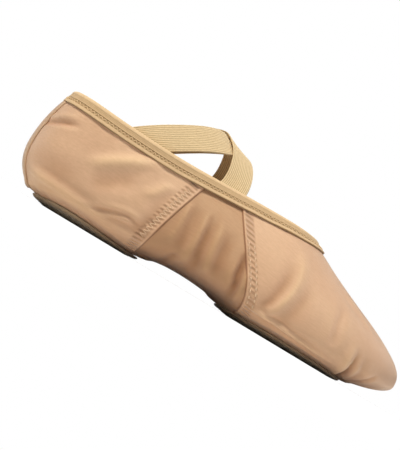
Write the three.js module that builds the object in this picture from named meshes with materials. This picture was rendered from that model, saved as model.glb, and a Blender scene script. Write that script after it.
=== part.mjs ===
// Split sole ballet slipper for the right foot, standing empty on its two suede pads.
// Millimetres, +Z up, +X towards the toe, -Y is the outer (lateral) side of the foot.
// The origin is on the floor, under the middle of the shoe.

import * as THREE from "three";
import { mergeVertices } from "three/addons/utils/BufferGeometryUtils.js";

// Thicknesses of the materials and the gap left between pieces that touch
const WALL = 1.0; // stretch canvas of the arch gore, inwards from the last
const PANEL_STEP = 0.6; // how far heel quarter and vamp stand proud of the gore
const SUEDE = 1.4;
const INSOLE = 2.0;
const BINDING = 0.8;
const ELASTIC = 1.2;
const STRIP = 0.6;
const GAP = 0.3;
const INSOLE_GAP = 0.8; // soft insoles lie on the turned-in canvas with more play
const BINDING_GAP = 0.4;
const ELASTIC_GAP = 0.7; // the elastics lie inside the folded binding with more play

// Widths of the tapes and how far the elastics reach down inside the collar
const BINDING_WIDTH = 7.0;
const BINDING_ROLL = 1.3; // the fold stands this far above the edge of the canvas
const ELASTIC_WIDTH = 15.0;
const ELASTIC_TUCK = 12.0;
const STRIP_HALF_WIDTH = 8.0;
const STRIP_FOOT = 0.205; // share of the half section at which the back strip starts, behind the pad
const PAD_BEVEL = 0.8; // the pads' lower edge is cut back by this much
const LASTING_MARGIN = 7.0; // canvas turned in under the rim of each pad

// The pads press the canvas flat this far above the floor
const FLAT_HEIGHT = PANEL_STEP + GAP + SUEDE;

// Plan outline of the last at its widest level, heel to toe. Each row is one section line,
// which starts on the spine and ends on the lateral and medial outline.
const STATIONS = [
  { at: "heel back", spine: [-86, 0], lateral: [-118, 0], medial: [-118, 0] },
  { at: "heel corner", spine: [-85, 0], lateral: [-109, -20], medial: [-109, 20] },
  { at: "heel side", spine: [-76, 0], lateral: [-84, -29], medial: [-84, 28.5] },
  { at: "heel breast", spine: [-45, 0], lateral: [-46, -32], medial: [-46, 29.5] },
  { at: "waist", spine: [-8, 0], lateral: [-8, -37], medial: [-8, 32] },
  { at: "ball rear", spine: [28, 1], lateral: [28, -42], medial: [30, 38.5] },
  { at: "ball", spine: [58, 3], lateral: [62, -41], medial: [64, 42] },
  { at: "toes", spine: [78, 4.5], lateral: [93, -31], medial: [96, 36] },
  { at: "toe corner", spine: [85, 5.5], lateral: [111, -14], medial: [113, 22] },
  { at: "toe tip", spine: [87, 6], lateral: [118.4, 5], medial: [118.4, 5] },
];

// Section lines fan out behind and in front of these places, and slant by less between them
const FAN = { heel: -62, toe: 60, slant: 14 };

// Side profile of the last. crown is the vamp's ridge, and behind the throat the line of the
// wearer's instep and heel; collar is where the canvas ends; powers set how square a section is.
const PROFILE = [
  { x: -120, crown: 73.5, collar: 58.5, widest: 27, sole: 2.4, crownPower: 2.0, solePower: 2.3 },
  { x: -104, crown: 80, collar: 57.0, widest: 25, sole: 1.8, crownPower: 1.95, solePower: 2.4 },
  { x: -82, crown: 86, collar: 55.2, widest: 23, sole: 1.7, crownPower: 1.85, solePower: 2.5 },
  { x: -50, crown: 88, collar: 54.5, widest: 22, sole: 1.9, crownPower: 1.7, solePower: 2.5 },
  { x: -24, crown: 77, collar: 55.5, widest: 22, sole: 5.6, crownPower: 1.65, solePower: 2.3 },
  { x: 0, crown: 70.5, collar: 56.6, widest: 20, sole: 5.2, crownPower: 1.75, solePower: 2.4 },
  { x: 20, crown: 64.8, collar: 57.2, widest: 18, sole: 2.1, crownPower: 1.95, solePower: 2.5 },
  { x: 56, crown: 48.5, collar: 56.0, widest: 16, sole: 1.7, crownPower: 2.2, solePower: 2.6 },
  { x: 80, crown: 38.5, collar: 54.0, widest: 15, sole: 2.0, crownPower: 2.4, solePower: 2.5 },
  { x: 100, crown: 31.0, collar: 52.0, widest: 14, sole: 4.0, crownPower: 2.6, solePower: 2.4 },
  { x: 120, crown: 25.5, collar: 50.0, widest: 14, sole: 7.0, crownPower: 2.7, solePower: 2.3 },
];

// Seams of the arch gore, by the place of the section line under the foot and at the collar
const REAR_SEAM = { under: -46, top: -30 };
const FRONT_SEAM = { under: 15.5, top: -13 };
const SEAM_BEVEL = 0.8; // length over which the wall steps down to the gore
const LEAN = { from: 0.36, to: 0.78 }; // the part of a section over which a seam slants
const LOWER_LEAN = 0.3; // below the widest level a section is shorter, and counts for this much

// The two suede pads and the two insoles over them: ovals in plan
const HEEL_PAD = { x: -72, y: 0, halfLength: 32, halfWidth: 21, taper: -0.06, sway: 0, power: 2.3 };
const FORE_PAD = { x: 48.5, y: 1, halfLength: 39.5, halfWidth: 32, taper: -0.1, sway: 0.04, power: 2.4 };
const HEEL_INSOLE = { x: -73, y: 0, halfLength: 33, halfWidth: 22, taper: -0.04, sway: 0, power: 2.4 };
const FORE_INSOLE = { x: 55, y: 1.5, halfLength: 47, halfWidth: 34, taper: -0.1, sway: 0.04, power: 2.4 };

// Crossed elastics: where each leaves the collar and where both cross the ridge of the instep
const STRAP_REAR = -78;
const STRAP_CROSSING = -25;
const STRAP_FRONT = -28;
const STRAP_LIFT = { under: 0.3, over: 2.5 }; // height over the instep line at the crossing
const STRAP_DIP = { from: 0.1, to: 0.66 }; // share of each half over which it sinks inside the collar

// Mesh density
const ROWS = 14;
const HEEL_COLUMNS = 11;
const GORE_COLUMNS = 6;
const THROAT_COLUMNS = 11;
const TOE_COLUMNS = 16;
const OVAL_SIDES = 36;
const OVAL_RINGS = 4;
const STRAP_STEPS = 30;
const STRAP_ACROSS = 4;
const STRIP_COLUMNS = 4;
const STRIP_ROWS = 10;

// Steps of the numeric work on the last's surface
const FINE_STEP = 1e-4; // along the closed outline
const SLOPE_STEP = 1e-3; // along a section line or round it
const WALK_STEPS = 4;
const HALVINGS = 40;
const TOUCHING = 1e-6;
const MERGE_DISTANCE = 1e-3;

const COLOURS = {
  canvas: { color: 0xe3b892, roughness: 0.85 },
  binding: { color: 0xe8c491, roughness: 0.8 },
  elastic: { color: 0xead0a0, roughness: 0.8 },
  suede: { color: 0x8b745a, roughness: 0.95 },
  lining: { color: 0xeadbc6, roughness: 0.9 },
};

const lerp = THREE.MathUtils.lerp;
const smoothstep = THREE.MathUtils.smoothstep;

// Smooth curve through one column of a table, by cubic pieces with averaged slopes
function columnCurve(table, column) {
  const xs = table.map((row) => row.x);
  const ys = table.map((row) => row[column]);
  const last = xs.length - 1;
  const rise = (i) => (ys[i + 1] - ys[i]) / (xs[i + 1] - xs[i]);
  const slopes = xs.map((x, i) => {
    if (i === 0) return rise(0);
    if (i === last) return rise(last - 1);
    const before = x - xs[i - 1];
    const after = xs[i + 1] - x;
    return (rise(i - 1) * after + rise(i) * before) / (before + after);
  });
  return (x) => {
    const at = THREE.MathUtils.clamp(x, xs[0], xs[last]);
    let i = 0;
    while (i < last - 1 && at > xs[i + 1]) i += 1;
    const span = xs[i + 1] - xs[i];
    const t = (at - xs[i]) / span;
    const bend = t * t * (3 - 2 * t);
    const lead = t * (1 - t) * (1 - t) * slopes[i];
    const trail = t * t * (t - 1) * slopes[i + 1];
    return lerp(ys[i], ys[i + 1], bend) + span * (lead + trail);
  };
}

const profile = {};
for (const column of ["crown", "collar", "widest", "sole", "crownPower", "solePower"]) {
  profile[column] = columnCurve(PROFILE, column);
}

// Closed smooth curve in plan through one side of the stations and back along the other
function planCurve(there, back) {
  const inner = STATIONS.slice(1, -1).reverse();
  const points = [...STATIONS.map(there), ...inner.map(back)];
  const vectors = points.map(([x, y]) => new THREE.Vector3(x, y, 0));
  return new THREE.CatmullRomCurve3(vectors, true, "catmullrom", 0.5);
}

const outline = planCurve((row) => row.lateral, (row) => row.medial);
const spine = planCurve((row) => row.spine, (row) => row.spine);

// Share of the half width and of the height of a section at an angle from its middle line
function sectionShares(angle, power) {
  const out = Math.sin(angle);
  const up = Math.cos(angle);
  const size = (out ** power + up ** power) ** (-1 / power);
  return [out * size, up * size];
}

// One section line in plan: u runs from 0 at the heel to 1 at the toe tip
function sectionLine(u, lateral, offset) {
  const t = lateral ? u / 2 : 1 - u / 2;
  const along = outline.getPoint((t + FINE_STEP) % 1).sub(outline.getPoint((t - FINE_STEP + 1) % 1));
  const outward = new THREE.Vector3(along.y, -along.x, 0).normalize();
  return { start: spine.getPoint(u / 2), end: outline.getPoint(t).addScaledVector(outward, offset) };
}

// Height of the underside at a place in plan, r being its share of the way out to the outline
function soleHeight(x, r, power, offset) {
  const drop = (profile.widest(x) - profile.sole(x) + offset) * (1 - r ** power) ** (1 / power);
  return Math.max(profile.widest(x) - drop, FLAT_HEIGHT - offset);
}

// Point of the last's surface moved out by offset. turn goes round a section: 0 under the foot,
// 0.5 at the widest level of the lateral side, 1 on the ridge, 1.5 medial and 2 under the foot.
function lastPoint(u, turn, offset) {
  const lateral = turn <= 1;
  const half = lateral ? turn : 2 - turn;
  const { start, end } = sectionLine(u, lateral, offset);
  const power = half > 0.5 ? profile.crownPower(end.x) : profile.solePower(end.x);
  const angle = Math.PI * Math.min(half, 1 - half);
  const [r, height] = sectionShares(angle, power);
  const point = start.lerp(end, r);
  const widest = profile.widest(point.x);
  if (half > 0.5) point.z = widest + (profile.crown(point.x) + offset - widest) * height;
  else point.z = soleHeight(point.x, Math.min(r, 1), power, offset);
  return point;
}

// Value between low and high where a falling or rising test changes sign
function solve(low, high, test) {
  const sign = Math.sign(test(low));
  let a = low;
  let b = high;
  for (let i = 0; i < HALVINGS; i += 1) {
    const middle = (a + b) / 2;
    if (Math.sign(test(middle)) === sign) a = middle;
    else b = middle;
  }
  return (a + b) / 2;
}

// The section line whose spine point has this x
function sectionAt(x) {
  const start = STATIONS[0].spine[0];
  return x <= start ? 0 : solve(0, 1, (u) => spine.getPoint(u / 2).x - x);
}

// Outward normal of the last at a point of its surface
function lastNormal(u, turn, offset) {
  const ahead = lastPoint(Math.min(u + SLOPE_STEP, 1), turn, offset);
  const along = ahead.sub(lastPoint(Math.max(u - SLOPE_STEP, 0), turn, offset));
  const around = lastPoint(u, turn + SLOPE_STEP, offset).sub(lastPoint(u, turn - SLOPE_STEP, offset));
  return along.cross(around).normalize();
}

// Section and turn reached by going a distance over the surface in a given direction
function walk(u, turn, offset, direction, distance) {
  for (let i = 0; i < WALK_STEPS; i += 1) {
    const here = lastPoint(u, turn, offset);
    const along = lastPoint(u + SLOPE_STEP, turn, offset).sub(here).divideScalar(SLOPE_STEP);
    const around = lastPoint(u, turn + SLOPE_STEP, offset).sub(here).divideScalar(SLOPE_STEP);
    const go = direction.clone().multiplyScalar(distance / WALK_STEPS);
    const aa = along.dot(along);
    const ab = along.dot(around);
    const bb = around.dot(around);
    const det = aa * bb - ab * ab;
    u += (bb * along.dot(go) - ab * around.dot(go)) / det;
    turn += (aa * around.dot(go) - ab * along.dot(go)) / det;
  }
  return [u, turn];
}

// Plan oval: its outline at an angle, and whether a place lies in it
function ovalPoint(oval, angle, share) {
  const [across, along] = sectionShares(Math.acos(Math.abs(Math.cos(angle))), oval.power);
  const forward = Math.sign(Math.cos(angle)) * along * share;
  const side = Math.sign(Math.sin(angle)) * across * share;
  return new THREE.Vector2(
    oval.x + oval.halfLength * forward,
    oval.y + oval.sway * oval.halfLength * forward + oval.halfWidth * (1 + oval.taper * forward) * side,
  );
}

function inOval(oval, inset, x, y) {
  const forward = (x - oval.x) / (oval.halfLength - inset);
  const halfWidth = (oval.halfWidth - inset) * (1 + oval.taper * forward);
  const side = (y - oval.y - oval.sway * (x - oval.x)) / halfWidth;
  return Math.abs(forward) ** oval.power + Math.abs(side) ** oval.power - 1;
}

// Height of the underside over a place in plan, by finding the section line that passes there
function underside(x, y, offset) {
  const lateral = y <= spine.getPoint(sectionAt(x) / 2).y;
  const side = lateral ? 1 : -1;
  const behind = x < FAN.heel ? 0 : sectionAt(Math.min(x - FAN.slant, FAN.toe));
  const ahead = x > FAN.toe ? 1 : sectionAt(Math.max(x + FAN.slant, FAN.heel));
  const u = solve(behind, ahead, (at) => {
    const { start, end } = sectionLine(at, lateral, offset);
    return side * ((end.x - start.x) * (y - start.y) - (end.y - start.y) * (x - start.x)) + TOUCHING;
  });
  const { start, end } = sectionLine(u, lateral, offset);
  const r = Math.min(Math.hypot(x - start.x, y - start.y) / start.distanceTo(end), 1);
  return soleHeight(x, r, profile.solePower(end.x), offset);
}

// Where the collar meets the ridge: the throat
const throatX = solve(0, 80, (x) => profile.crown(x) - profile.collar(x));
const throat = sectionAt(throatX);

// Turn on either side, from the share of the half section that lies below the place
const sideTurn = (half, lateral) => (lateral ? half : 2 - half);

// Share of the half section at which a section line, straight or leaning, reaches the collar
function collarHalf(lineAt, lateral) {
  const over = (half) => {
    const point = lastPoint(lineAt(half), sideTurn(half, lateral), 0);
    return point.z - profile.collar(point.x);
  };
  return over(1) <= TOUCHING ? 1 : solve(0.5, 1, over);
}

// Share of the half section at which the canvas ends, at the opening that a pad closes
function openingHalf(lineAt, lateral) {
  const outside = (half) => {
    const point = lastPoint(lineAt(half), sideTurn(half, lateral), 0);
    const heel = inOval(HEEL_PAD, LASTING_MARGIN, point.x, point.y);
    const fore = inOval(FORE_PAD, LASTING_MARGIN, point.x, point.y);
    return Math.min(heel, fore);
  };
  return outside(0) >= 0 ? 0 : solve(0, 0.5, outside);
}

// Columns of the upper's mesh from heel to toe: section line under the foot and at the collar,
// and how far the outer face stands off the last
function upperColumns() {
  const rear = { under: sectionAt(REAR_SEAM.under), top: sectionAt(REAR_SEAM.top) };
  const front = { under: sectionAt(FRONT_SEAM.under), top: sectionAt(FRONT_SEAM.top) };
  const bevel = sectionAt(SEAM_BEVEL) - sectionAt(0);
  const shifted = (seam, by) => ({ under: seam.under + by, top: seam.top + by });
  const tip = { under: throat, top: throat };
  const columns = [];
  const band = (from, to, count, proud, ease) => {
    for (let i = 0; i <= count; i += 1) {
      const t = ease(i / count);
      columns.push({ under: lerp(from.under, to.under, t), top: lerp(from.top, to.top, t), proud });
    }
  };
  const even = (t) => t;
  const closing = (t) => 1 - (1 - t) * (1 - t);
  band({ under: 0, top: 0 }, rear, HEEL_COLUMNS, PANEL_STEP, even);
  band(shifted(rear, bevel), shifted(front, -bevel), GORE_COLUMNS, 0, even);
  band(front, tip, THROAT_COLUMNS, PANEL_STEP, closing);
  columns.pop();
  band(tip, { under: 1, top: 1 }, TOE_COLUMNS, PANEL_STEP, even);
  return columns;
}

// Section line of a column at a share of the half section
const leanAt = (column) => (half) => {
  const level = half < 0.5 ? 0.5 - (0.5 - half) * LOWER_LEAN : half;
  return lerp(column.under, column.top, smoothstep(level, LEAN.from, LEAN.to));
};

// Triangles gathered from rows of points, then joined where points coincide
class Shell {
  constructor() {
    this.positions = [];
  }

  triangle(a, b, c) {
    for (const point of [a, b, c]) this.positions.push(point.x, point.y, point.z);
  }

  quad(a, b, c, d, flip) {
    if (flip) {
      this.quad(d, c, b, a, false);
      return;
    }
    this.triangle(a, b, c);
    this.triangle(a, c, d);
  }

  // A sheet of rows, every row with as many points
  sheet(rows, flip) {
    for (let i = 0; i + 1 < rows.length; i += 1) this.strip(rows[i], rows[i + 1], flip);
  }

  strip(first, second, flip) {
    for (let j = 0; j + 1 < first.length; j += 1) {
      this.quad(first[j], second[j], second[j + 1], first[j + 1], flip);
    }
  }

  // Closed tube of section loops; its ends are capped when it isn't a ring
  tube(loops, ring) {
    const count = ring ? loops.length : loops.length - 1;
    for (let i = 0; i < count; i += 1) {
      const next = loops[(i + 1) % loops.length];
      this.strip([...loops[i], loops[i][0]], [...next, next[0]], false);
    }
    if (ring) return;
    this.cap(loops[0], true);
    this.cap(loops[loops.length - 1], false);
  }

  // End of a flat tape, whose loop runs out along one face and back along the other
  cap(loop, flip) {
    const half = loop.length / 2;
    const back = loop.slice(half).reverse();
    this.strip(loop.slice(0, half), back, flip);
  }

  geometry() {
    const loose = new THREE.BufferGeometry();
    loose.setAttribute("position", new THREE.Float32BufferAttribute(this.positions, 3));
    const merged = mergeVertices(loose, MERGE_DISTANCE);
    const index = merged.index.array;
    const kept = [];
    for (let i = 0; i < index.length; i += 3) {
      const [a, b, c] = [index[i], index[i + 1], index[i + 2]];
      if (a !== b && b !== c && a !== c) kept.push(a, b, c);
    }
    merged.setIndex(kept);
    merged.computeVertexNormals();
    return merged;
  }
}

// The canvas upper: one wall, open at the collar and under each pad, stepped at the gore's seams
function upperGeometry() {
  const shell = new Shell();
  for (const lateral of [true, false]) {
    const columns = upperColumns().map((column) => {
      const lineAt = leanAt(column);
      const low = openingHalf(lineAt, lateral);
      const high = collarHalf(lineAt, lateral);
      const face = (offset) => {
        const points = [];
        for (let j = 0; j <= ROWS; j += 1) {
          const half = lerp(low, high, j / ROWS);
          points.push(lastPoint(lineAt(half), sideTurn(half, lateral), offset));
        }
        return points;
      };
      return { low, high, outer: face(column.proud), inner: face(-WALL) };
    });
    shell.sheet(columns.map((column) => column.outer), !lateral);
    shell.sheet(columns.map((column) => column.inner), lateral);
    for (let i = 0; i + 1 < columns.length; i += 1) {
      const [a, b] = [columns[i], columns[i + 1]];
      const openTop = a.high < 1 || b.high < 1;
      const openUnder = a.low > 0 || b.low > 0;
      if (openTop) shell.quad(a.outer[ROWS], b.outer[ROWS], b.inner[ROWS], a.inner[ROWS], !lateral);
      if (openUnder) shell.quad(a.outer[0], a.inner[0], b.inner[0], b.outer[0], !lateral);
    }
  }
  return shell.geometry();
}

// Places along the edge of the canvas, once round the collar from the heel over the lateral side
function collarEdge() {
  const columns = upperColumns().filter((column) => column.top <= throat + TOUCHING);
  const edge = (lateral) => columns.map((column) => {
    const lineAt = leanAt(column);
    const half = collarHalf(lineAt, lateral);
    return { u: lineAt(half), turn: sideTurn(half, lateral) };
  });
  return [...edge(true), ...edge(false).slice(1, -1).reverse()];
}

// Frame at each place of the edge: out from the wall, and down over it, away from the opening
function edgeFrames() {
  const places = collarEdge();
  return places.map((place, i) => {
    const before = places[(i - 1 + places.length) % places.length];
    const after = places[(i + 1) % places.length];
    const along = lastPoint(after.u, after.turn, 0).sub(lastPoint(before.u, before.turn, 0)).normalize();
    const out = lastNormal(place.u, place.turn, 0);
    const down = out.clone().cross(along).normalize().negate();
    return { ...place, point: lastPoint(place.u, place.turn, 0), out, down };
  });
}

// Folded tape over the edge of the canvas: two legs and a rounded fold
function bindingGeometry() {
  const outerFace = PANEL_STEP + BINDING_GAP;
  const innerFace = -WALL - BINDING_GAP;
  const soft = BINDING / 2;
  const loops = edgeFrames().map(({ u, turn, point, out, down }) => {
    const below = (distance) => {
      const [legU, legTurn] = walk(u, turn, 0, down, distance);
      const foot = lastPoint(legU, legTurn, 0);
      const footOut = lastNormal(legU, legTurn, 0);
      return (height) => foot.clone().addScaledVector(footOut, height);
    };
    const low = below(BINDING_WIDTH);
    const middle = below(BINDING_WIDTH / 2);
    const top = (above, height) => point.clone().addScaledVector(down, -above).addScaledVector(out, height);
    return [
      low(outerFace),
      low(outerFace + BINDING),
      middle(outerFace + BINDING),
      top(BINDING_ROLL - soft, outerFace + BINDING),
      top(BINDING_ROLL, outerFace + BINDING - soft),
      top(BINDING_ROLL, innerFace - BINDING + soft),
      top(BINDING_ROLL - soft, innerFace - BINDING),
      middle(innerFace - BINDING),
      low(innerFace - BINDING),
      low(innerFace),
      middle(innerFace),
      top(BINDING_GAP, innerFace),
      top(BINDING_GAP, outerFace),
      middle(outerFace),
    ];
  });
  const shell = new Shell();
  shell.tube(loops, true);
  return shell.geometry();
}

// One crossed elastic: a flat band from inside the collar, over the instep, to the other side
function strapGeometry(lateralX, medialX, lift) {
  const inside = -(WALL + BINDING_GAP + BINDING + ELASTIC_GAP + ELASTIC / 2);
  const tucked = (x, lateral) => {
    const u = sectionAt(x);
    const turn = sideTurn(collarHalf(() => u, lateral), lateral);
    const under = lateral ? turn - SLOPE_STEP : turn + SLOPE_STEP;
    const down = lastPoint(u, under, 0).sub(lastPoint(u, turn, 0)).normalize();
    return { u, turn: walk(u, turn, inside, down, ELASTIC_TUCK)[1] };
  };
  const start = tucked(lateralX, true);
  const end = tucked(medialX, false);
  const crossing = sectionAt(STRAP_CROSSING);
  const bow = crossing - (start.u + end.u) / 2;
  const place = (t) => ({
    u: lerp(start.u, end.u, (t + 1) / 2) + bow * (1 - t * t),
    turn: t < 0 ? lerp(1, start.turn, -t) : lerp(1, end.turn, t),
    offset: lerp(lift, inside, smoothstep(Math.abs(t), STRAP_DIP.from, STRAP_DIP.to)),
  });
  const loops = [];
  for (let i = 0; i <= STRAP_STEPS; i += 1) {
    const t = lerp(-1, 1, i / STRAP_STEPS);
    const { u, turn, offset } = place(t);
    const near = [t - SLOPE_STEP, t + SLOPE_STEP].map(place).map((at) => lastPoint(at.u, at.turn, at.offset));
    const along = near[1].sub(near[0]).normalize();
    const across = lastNormal(u, turn, offset).cross(along).normalize();
    const spots = [];
    for (let k = 0; k < STRAP_ACROSS; k += 1) {
      const side = ELASTIC_WIDTH * (k / (STRAP_ACROSS - 1) - 0.5);
      spots.push(walk(u, turn, offset, across, side));
    }
    const face = (height) => spots.map(([atU, atTurn]) => lastPoint(atU, atTurn, offset + height));
    loops.push([...face(ELASTIC / 2), ...face(-ELASTIC / 2).reverse()]);
  }
  const shell = new Shell();
  shell.tube(loops, false);
  return shell.geometry();
}

// A pad or insole that follows the underside of the last between two offsets
function ovalGeometry(oval, upper, lower, rimInset) {
  const face = (offset, inset) => {
    const rings = [];
    for (let k = 0; k <= OVAL_RINGS; k += 1) {
      const share = (k / OVAL_RINGS) * (1 - inset / oval.halfWidth);
      const ring = [];
      for (let i = 0; i <= OVAL_SIDES; i += 1) {
        const place = ovalPoint(oval, (2 * Math.PI * (i % OVAL_SIDES)) / OVAL_SIDES, share);
        ring.push(new THREE.Vector3(place.x, place.y, underside(place.x, place.y, offset)));
      }
      rings.push(ring);
    }
    return rings;
  };
  const top = face(upper, 0);
  const bottom = face(lower, rimInset);
  const shell = new Shell();
  shell.sheet(top, false);
  shell.sheet(bottom, true);
  shell.strip(top[OVAL_RINGS], bottom[OVAL_RINGS], false);
  return shell.geometry();
}

// Narrow strip that covers the back seam, from behind the heel pad up to the binding
function backStripGeometry() {
  const inner = PANEL_STEP + GAP;
  const high = collarHalf(() => 0, true);
  const down = lastPoint(0, high - SLOPE_STEP, 0).sub(lastPoint(0, high, 0)).normalize();
  const top = walk(0, high, 0, down, BINDING_WIDTH + 2 * GAP)[1];
  const reach = solve(0, 0.2, (u) => Math.abs(sectionLine(u, true, 0).end.y) - STRIP_HALF_WIDTH);
  const columns = [];
  for (let i = -STRIP_COLUMNS; i <= STRIP_COLUMNS; i += 1) {
    const u = (reach * Math.abs(i)) / STRIP_COLUMNS;
    const face = (offset) => {
      const points = [];
      for (let j = 0; j <= STRIP_ROWS; j += 1) {
        const half = lerp(STRIP_FOOT, top, j / STRIP_ROWS);
        points.push(lastPoint(u, sideTurn(half, i >= 0), offset));
      }
      return points;
    };
    columns.push([...face(inner + STRIP), ...face(inner).reverse()]);
  }
  const shell = new Shell();
  shell.tube(columns, false);
  return shell.geometry();
}

function piece(name, geometry, look) {
  const mesh = new THREE.Mesh(geometry, new THREE.MeshStandardMaterial({ ...look, metalness: 0 }));
  mesh.name = name;
  return mesh;
}

const padTop = PANEL_STEP + GAP;
const insoleUnder = -WALL - INSOLE_GAP;

const slipper = new THREE.Group();
slipper.name = "split_sole_ballet_slipper";
slipper.add(
  piece("upper", upperGeometry(), COLOURS.canvas),
  piece("collar_binding", bindingGeometry(), COLOURS.binding),
  piece("elastic_under", strapGeometry(STRAP_REAR, STRAP_FRONT, STRAP_LIFT.under), COLOURS.elastic),
  piece("elastic_over", strapGeometry(STRAP_FRONT, STRAP_REAR, STRAP_LIFT.over), COLOURS.elastic),
  piece("heel_pad", ovalGeometry(HEEL_PAD, padTop, padTop + SUEDE, PAD_BEVEL), COLOURS.suede),
  piece("forefoot_pad", ovalGeometry(FORE_PAD, padTop, padTop + SUEDE, PAD_BEVEL), COLOURS.suede),
  piece("heel_insole", ovalGeometry(HEEL_INSOLE, insoleUnder - INSOLE, insoleUnder, 0), COLOURS.lining),
  piece("forefoot_insole", ovalGeometry(FORE_INSOLE, insoleUnder - INSOLE, insoleUnder, 0), COLOURS.lining),
  piece("back_strip", backStripGeometry(), COLOURS.canvas),
);

export default slipper;
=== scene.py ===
import math

import bmesh
import bpy
import numpy as np
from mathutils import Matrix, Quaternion, Vector


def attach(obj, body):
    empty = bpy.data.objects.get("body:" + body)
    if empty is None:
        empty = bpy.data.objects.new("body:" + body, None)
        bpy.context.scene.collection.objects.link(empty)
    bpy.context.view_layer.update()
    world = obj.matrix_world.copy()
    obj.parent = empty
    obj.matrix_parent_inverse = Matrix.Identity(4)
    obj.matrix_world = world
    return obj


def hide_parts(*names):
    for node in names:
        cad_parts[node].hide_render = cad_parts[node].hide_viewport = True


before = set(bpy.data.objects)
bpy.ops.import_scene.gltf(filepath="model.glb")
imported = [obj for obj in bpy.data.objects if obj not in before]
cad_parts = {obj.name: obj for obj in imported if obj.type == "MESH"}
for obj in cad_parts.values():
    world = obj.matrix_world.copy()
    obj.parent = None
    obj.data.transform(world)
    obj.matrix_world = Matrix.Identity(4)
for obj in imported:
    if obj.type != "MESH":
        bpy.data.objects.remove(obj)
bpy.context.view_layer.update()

# The looks of a split sole ballet slipper, built on the same last as its solids.
# Sizes here are millimetres until a mesh is made; u runs from heel to toe along the shoe.

BODY = "root"
MM = 0.001

# Thicknesses, gaps and tape widths of the solids
WALL = 1.0
PANEL_STEP = 0.6
SUEDE = 1.4
INSOLE = 2.0
BINDING = 0.8
ELASTIC = 1.2
STRIP = 0.6
GAP = 0.3
INSOLE_GAP = 0.8
BINDING_GAP = 0.4
ELASTIC_GAP = 0.7
BINDING_WIDTH = 7.0
BINDING_ROLL = 1.3
ELASTIC_WIDTH = 15.0
ELASTIC_TUCK = 12.0
STRIP_HALF_WIDTH = 8.0
STRIP_FOOT = 0.205
LASTING_MARGIN = 7.0
PAD_BEVEL = 0.8
FLAT_HEIGHT = PANEL_STEP + GAP + SUEDE

# Plan outline: spine x, y; lateral x, y; medial x, y at ten stations from heel back to toe tip
STATIONS = np.array([
    (-86, 0, -118, 0, -118, 0),
    (-85, 0, -109, -20, -109, 20),
    (-76, 0, -84, -29, -84, 28.5),
    (-45, 0, -46, -32, -46, 29.5),
    (-8, 0, -8, -37, -8, 32),
    (28, 1, 28, -42, 30, 38.5),
    (58, 3, 62, -41, 64, 42),
    (78, 4.5, 93, -31, 96, 36),
    (85, 5.5, 111, -14, 113, 22),
    (87, 6, 118.4, 5, 118.4, 5),
])
LAST_STATION = len(STATIONS) - 1
FAN = {"heel": -62, "toe": 60, "slant": 14}

# Side profile: x, crown, collar, widest level, sole, power of the crown and of the sole
PROFILE = np.array([
    (-120, 73.5, 58.5, 27, 2.4, 2.0, 2.3),
    (-104, 80, 57.0, 25, 1.8, 1.95, 2.4),
    (-82, 86, 55.2, 23, 1.7, 1.85, 2.5),
    (-50, 88, 54.5, 22, 1.9, 1.7, 2.5),
    (-24, 77, 55.5, 22, 5.6, 1.65, 2.3),
    (0, 70.5, 56.6, 20, 5.2, 1.75, 2.4),
    (20, 64.8, 57.2, 18, 2.1, 1.95, 2.5),
    (56, 48.5, 56.0, 16, 1.7, 2.2, 2.6),
    (80, 38.5, 54.0, 15, 2.0, 2.4, 2.5),
    (100, 31.0, 52.0, 14, 4.0, 2.6, 2.4),
    (120, 25.5, 50.0, 14, 7.0, 2.7, 2.3),
])
COLUMNS = ("crown", "collar", "widest", "sole", "crown_power", "sole_power")

REAR_SEAM = (-46, -30)
FRONT_SEAM = (15.5, -13)
LEAN = (0.36, 0.78)
LOWER_LEAN = 0.3

# Ovals in plan: centre x, y, half length, half width, taper, sway, power
OVAL_COLUMNS = ("x", "y", "half_length", "half_width", "taper", "sway", "power")
HEEL_PAD = dict(zip(OVAL_COLUMNS, (-72, 0, 32, 21, -0.06, 0, 2.3)))
FORE_PAD = dict(zip(OVAL_COLUMNS, (48.5, 1, 39.5, 32, -0.1, 0.04, 2.4)))
HEEL_INSOLE = dict(zip(OVAL_COLUMNS, (-73, 0, 33, 22, -0.04, 0, 2.4)))
FORE_INSOLE = dict(zip(OVAL_COLUMNS, (55, 1.5, 47, 34, -0.1, 0.04, 2.4)))

STRAP_REAR = -78
STRAP_CROSSING = -25
STRAP_FRONT = -28
STRAP_LIFT = {"under": 0.3, "over": 2.0}  # the upper elastic lies closer than its solid
STRAP_DIP = (0.1, 0.66)

SLOPE_STEP = 1e-3
WALK_STEPS = 4
HALVINGS = 40
TOUCHING = 1e-6
DOWN = np.array([0.0, 0.0, -1.0])
NO_AREA = 1e-9  # section lines meet at the ends of the spine, where the sole faces down
U_PER_MM = 1 / 333  # section lines are about this far apart along the foot
TURN_PER_MM = 1 / 150  # and a section is about this long from sole to ridge


def smoothstep(low, high, value):
    t = np.clip((value - low) / (high - low), 0.0, 1.0)
    return t * t * (3 - 2 * t)


def bump(distance, width):
    return np.exp(-(distance / width) ** 2)


def unit(vectors):
    return vectors / np.linalg.norm(vectors, axis=-1, keepdims=True)


def run_length(points):
    """Distance covered along a line of points."""
    return np.concatenate([[0], np.cumsum(np.linalg.norm(np.diff(points, axis=0), axis=-1))])


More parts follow.
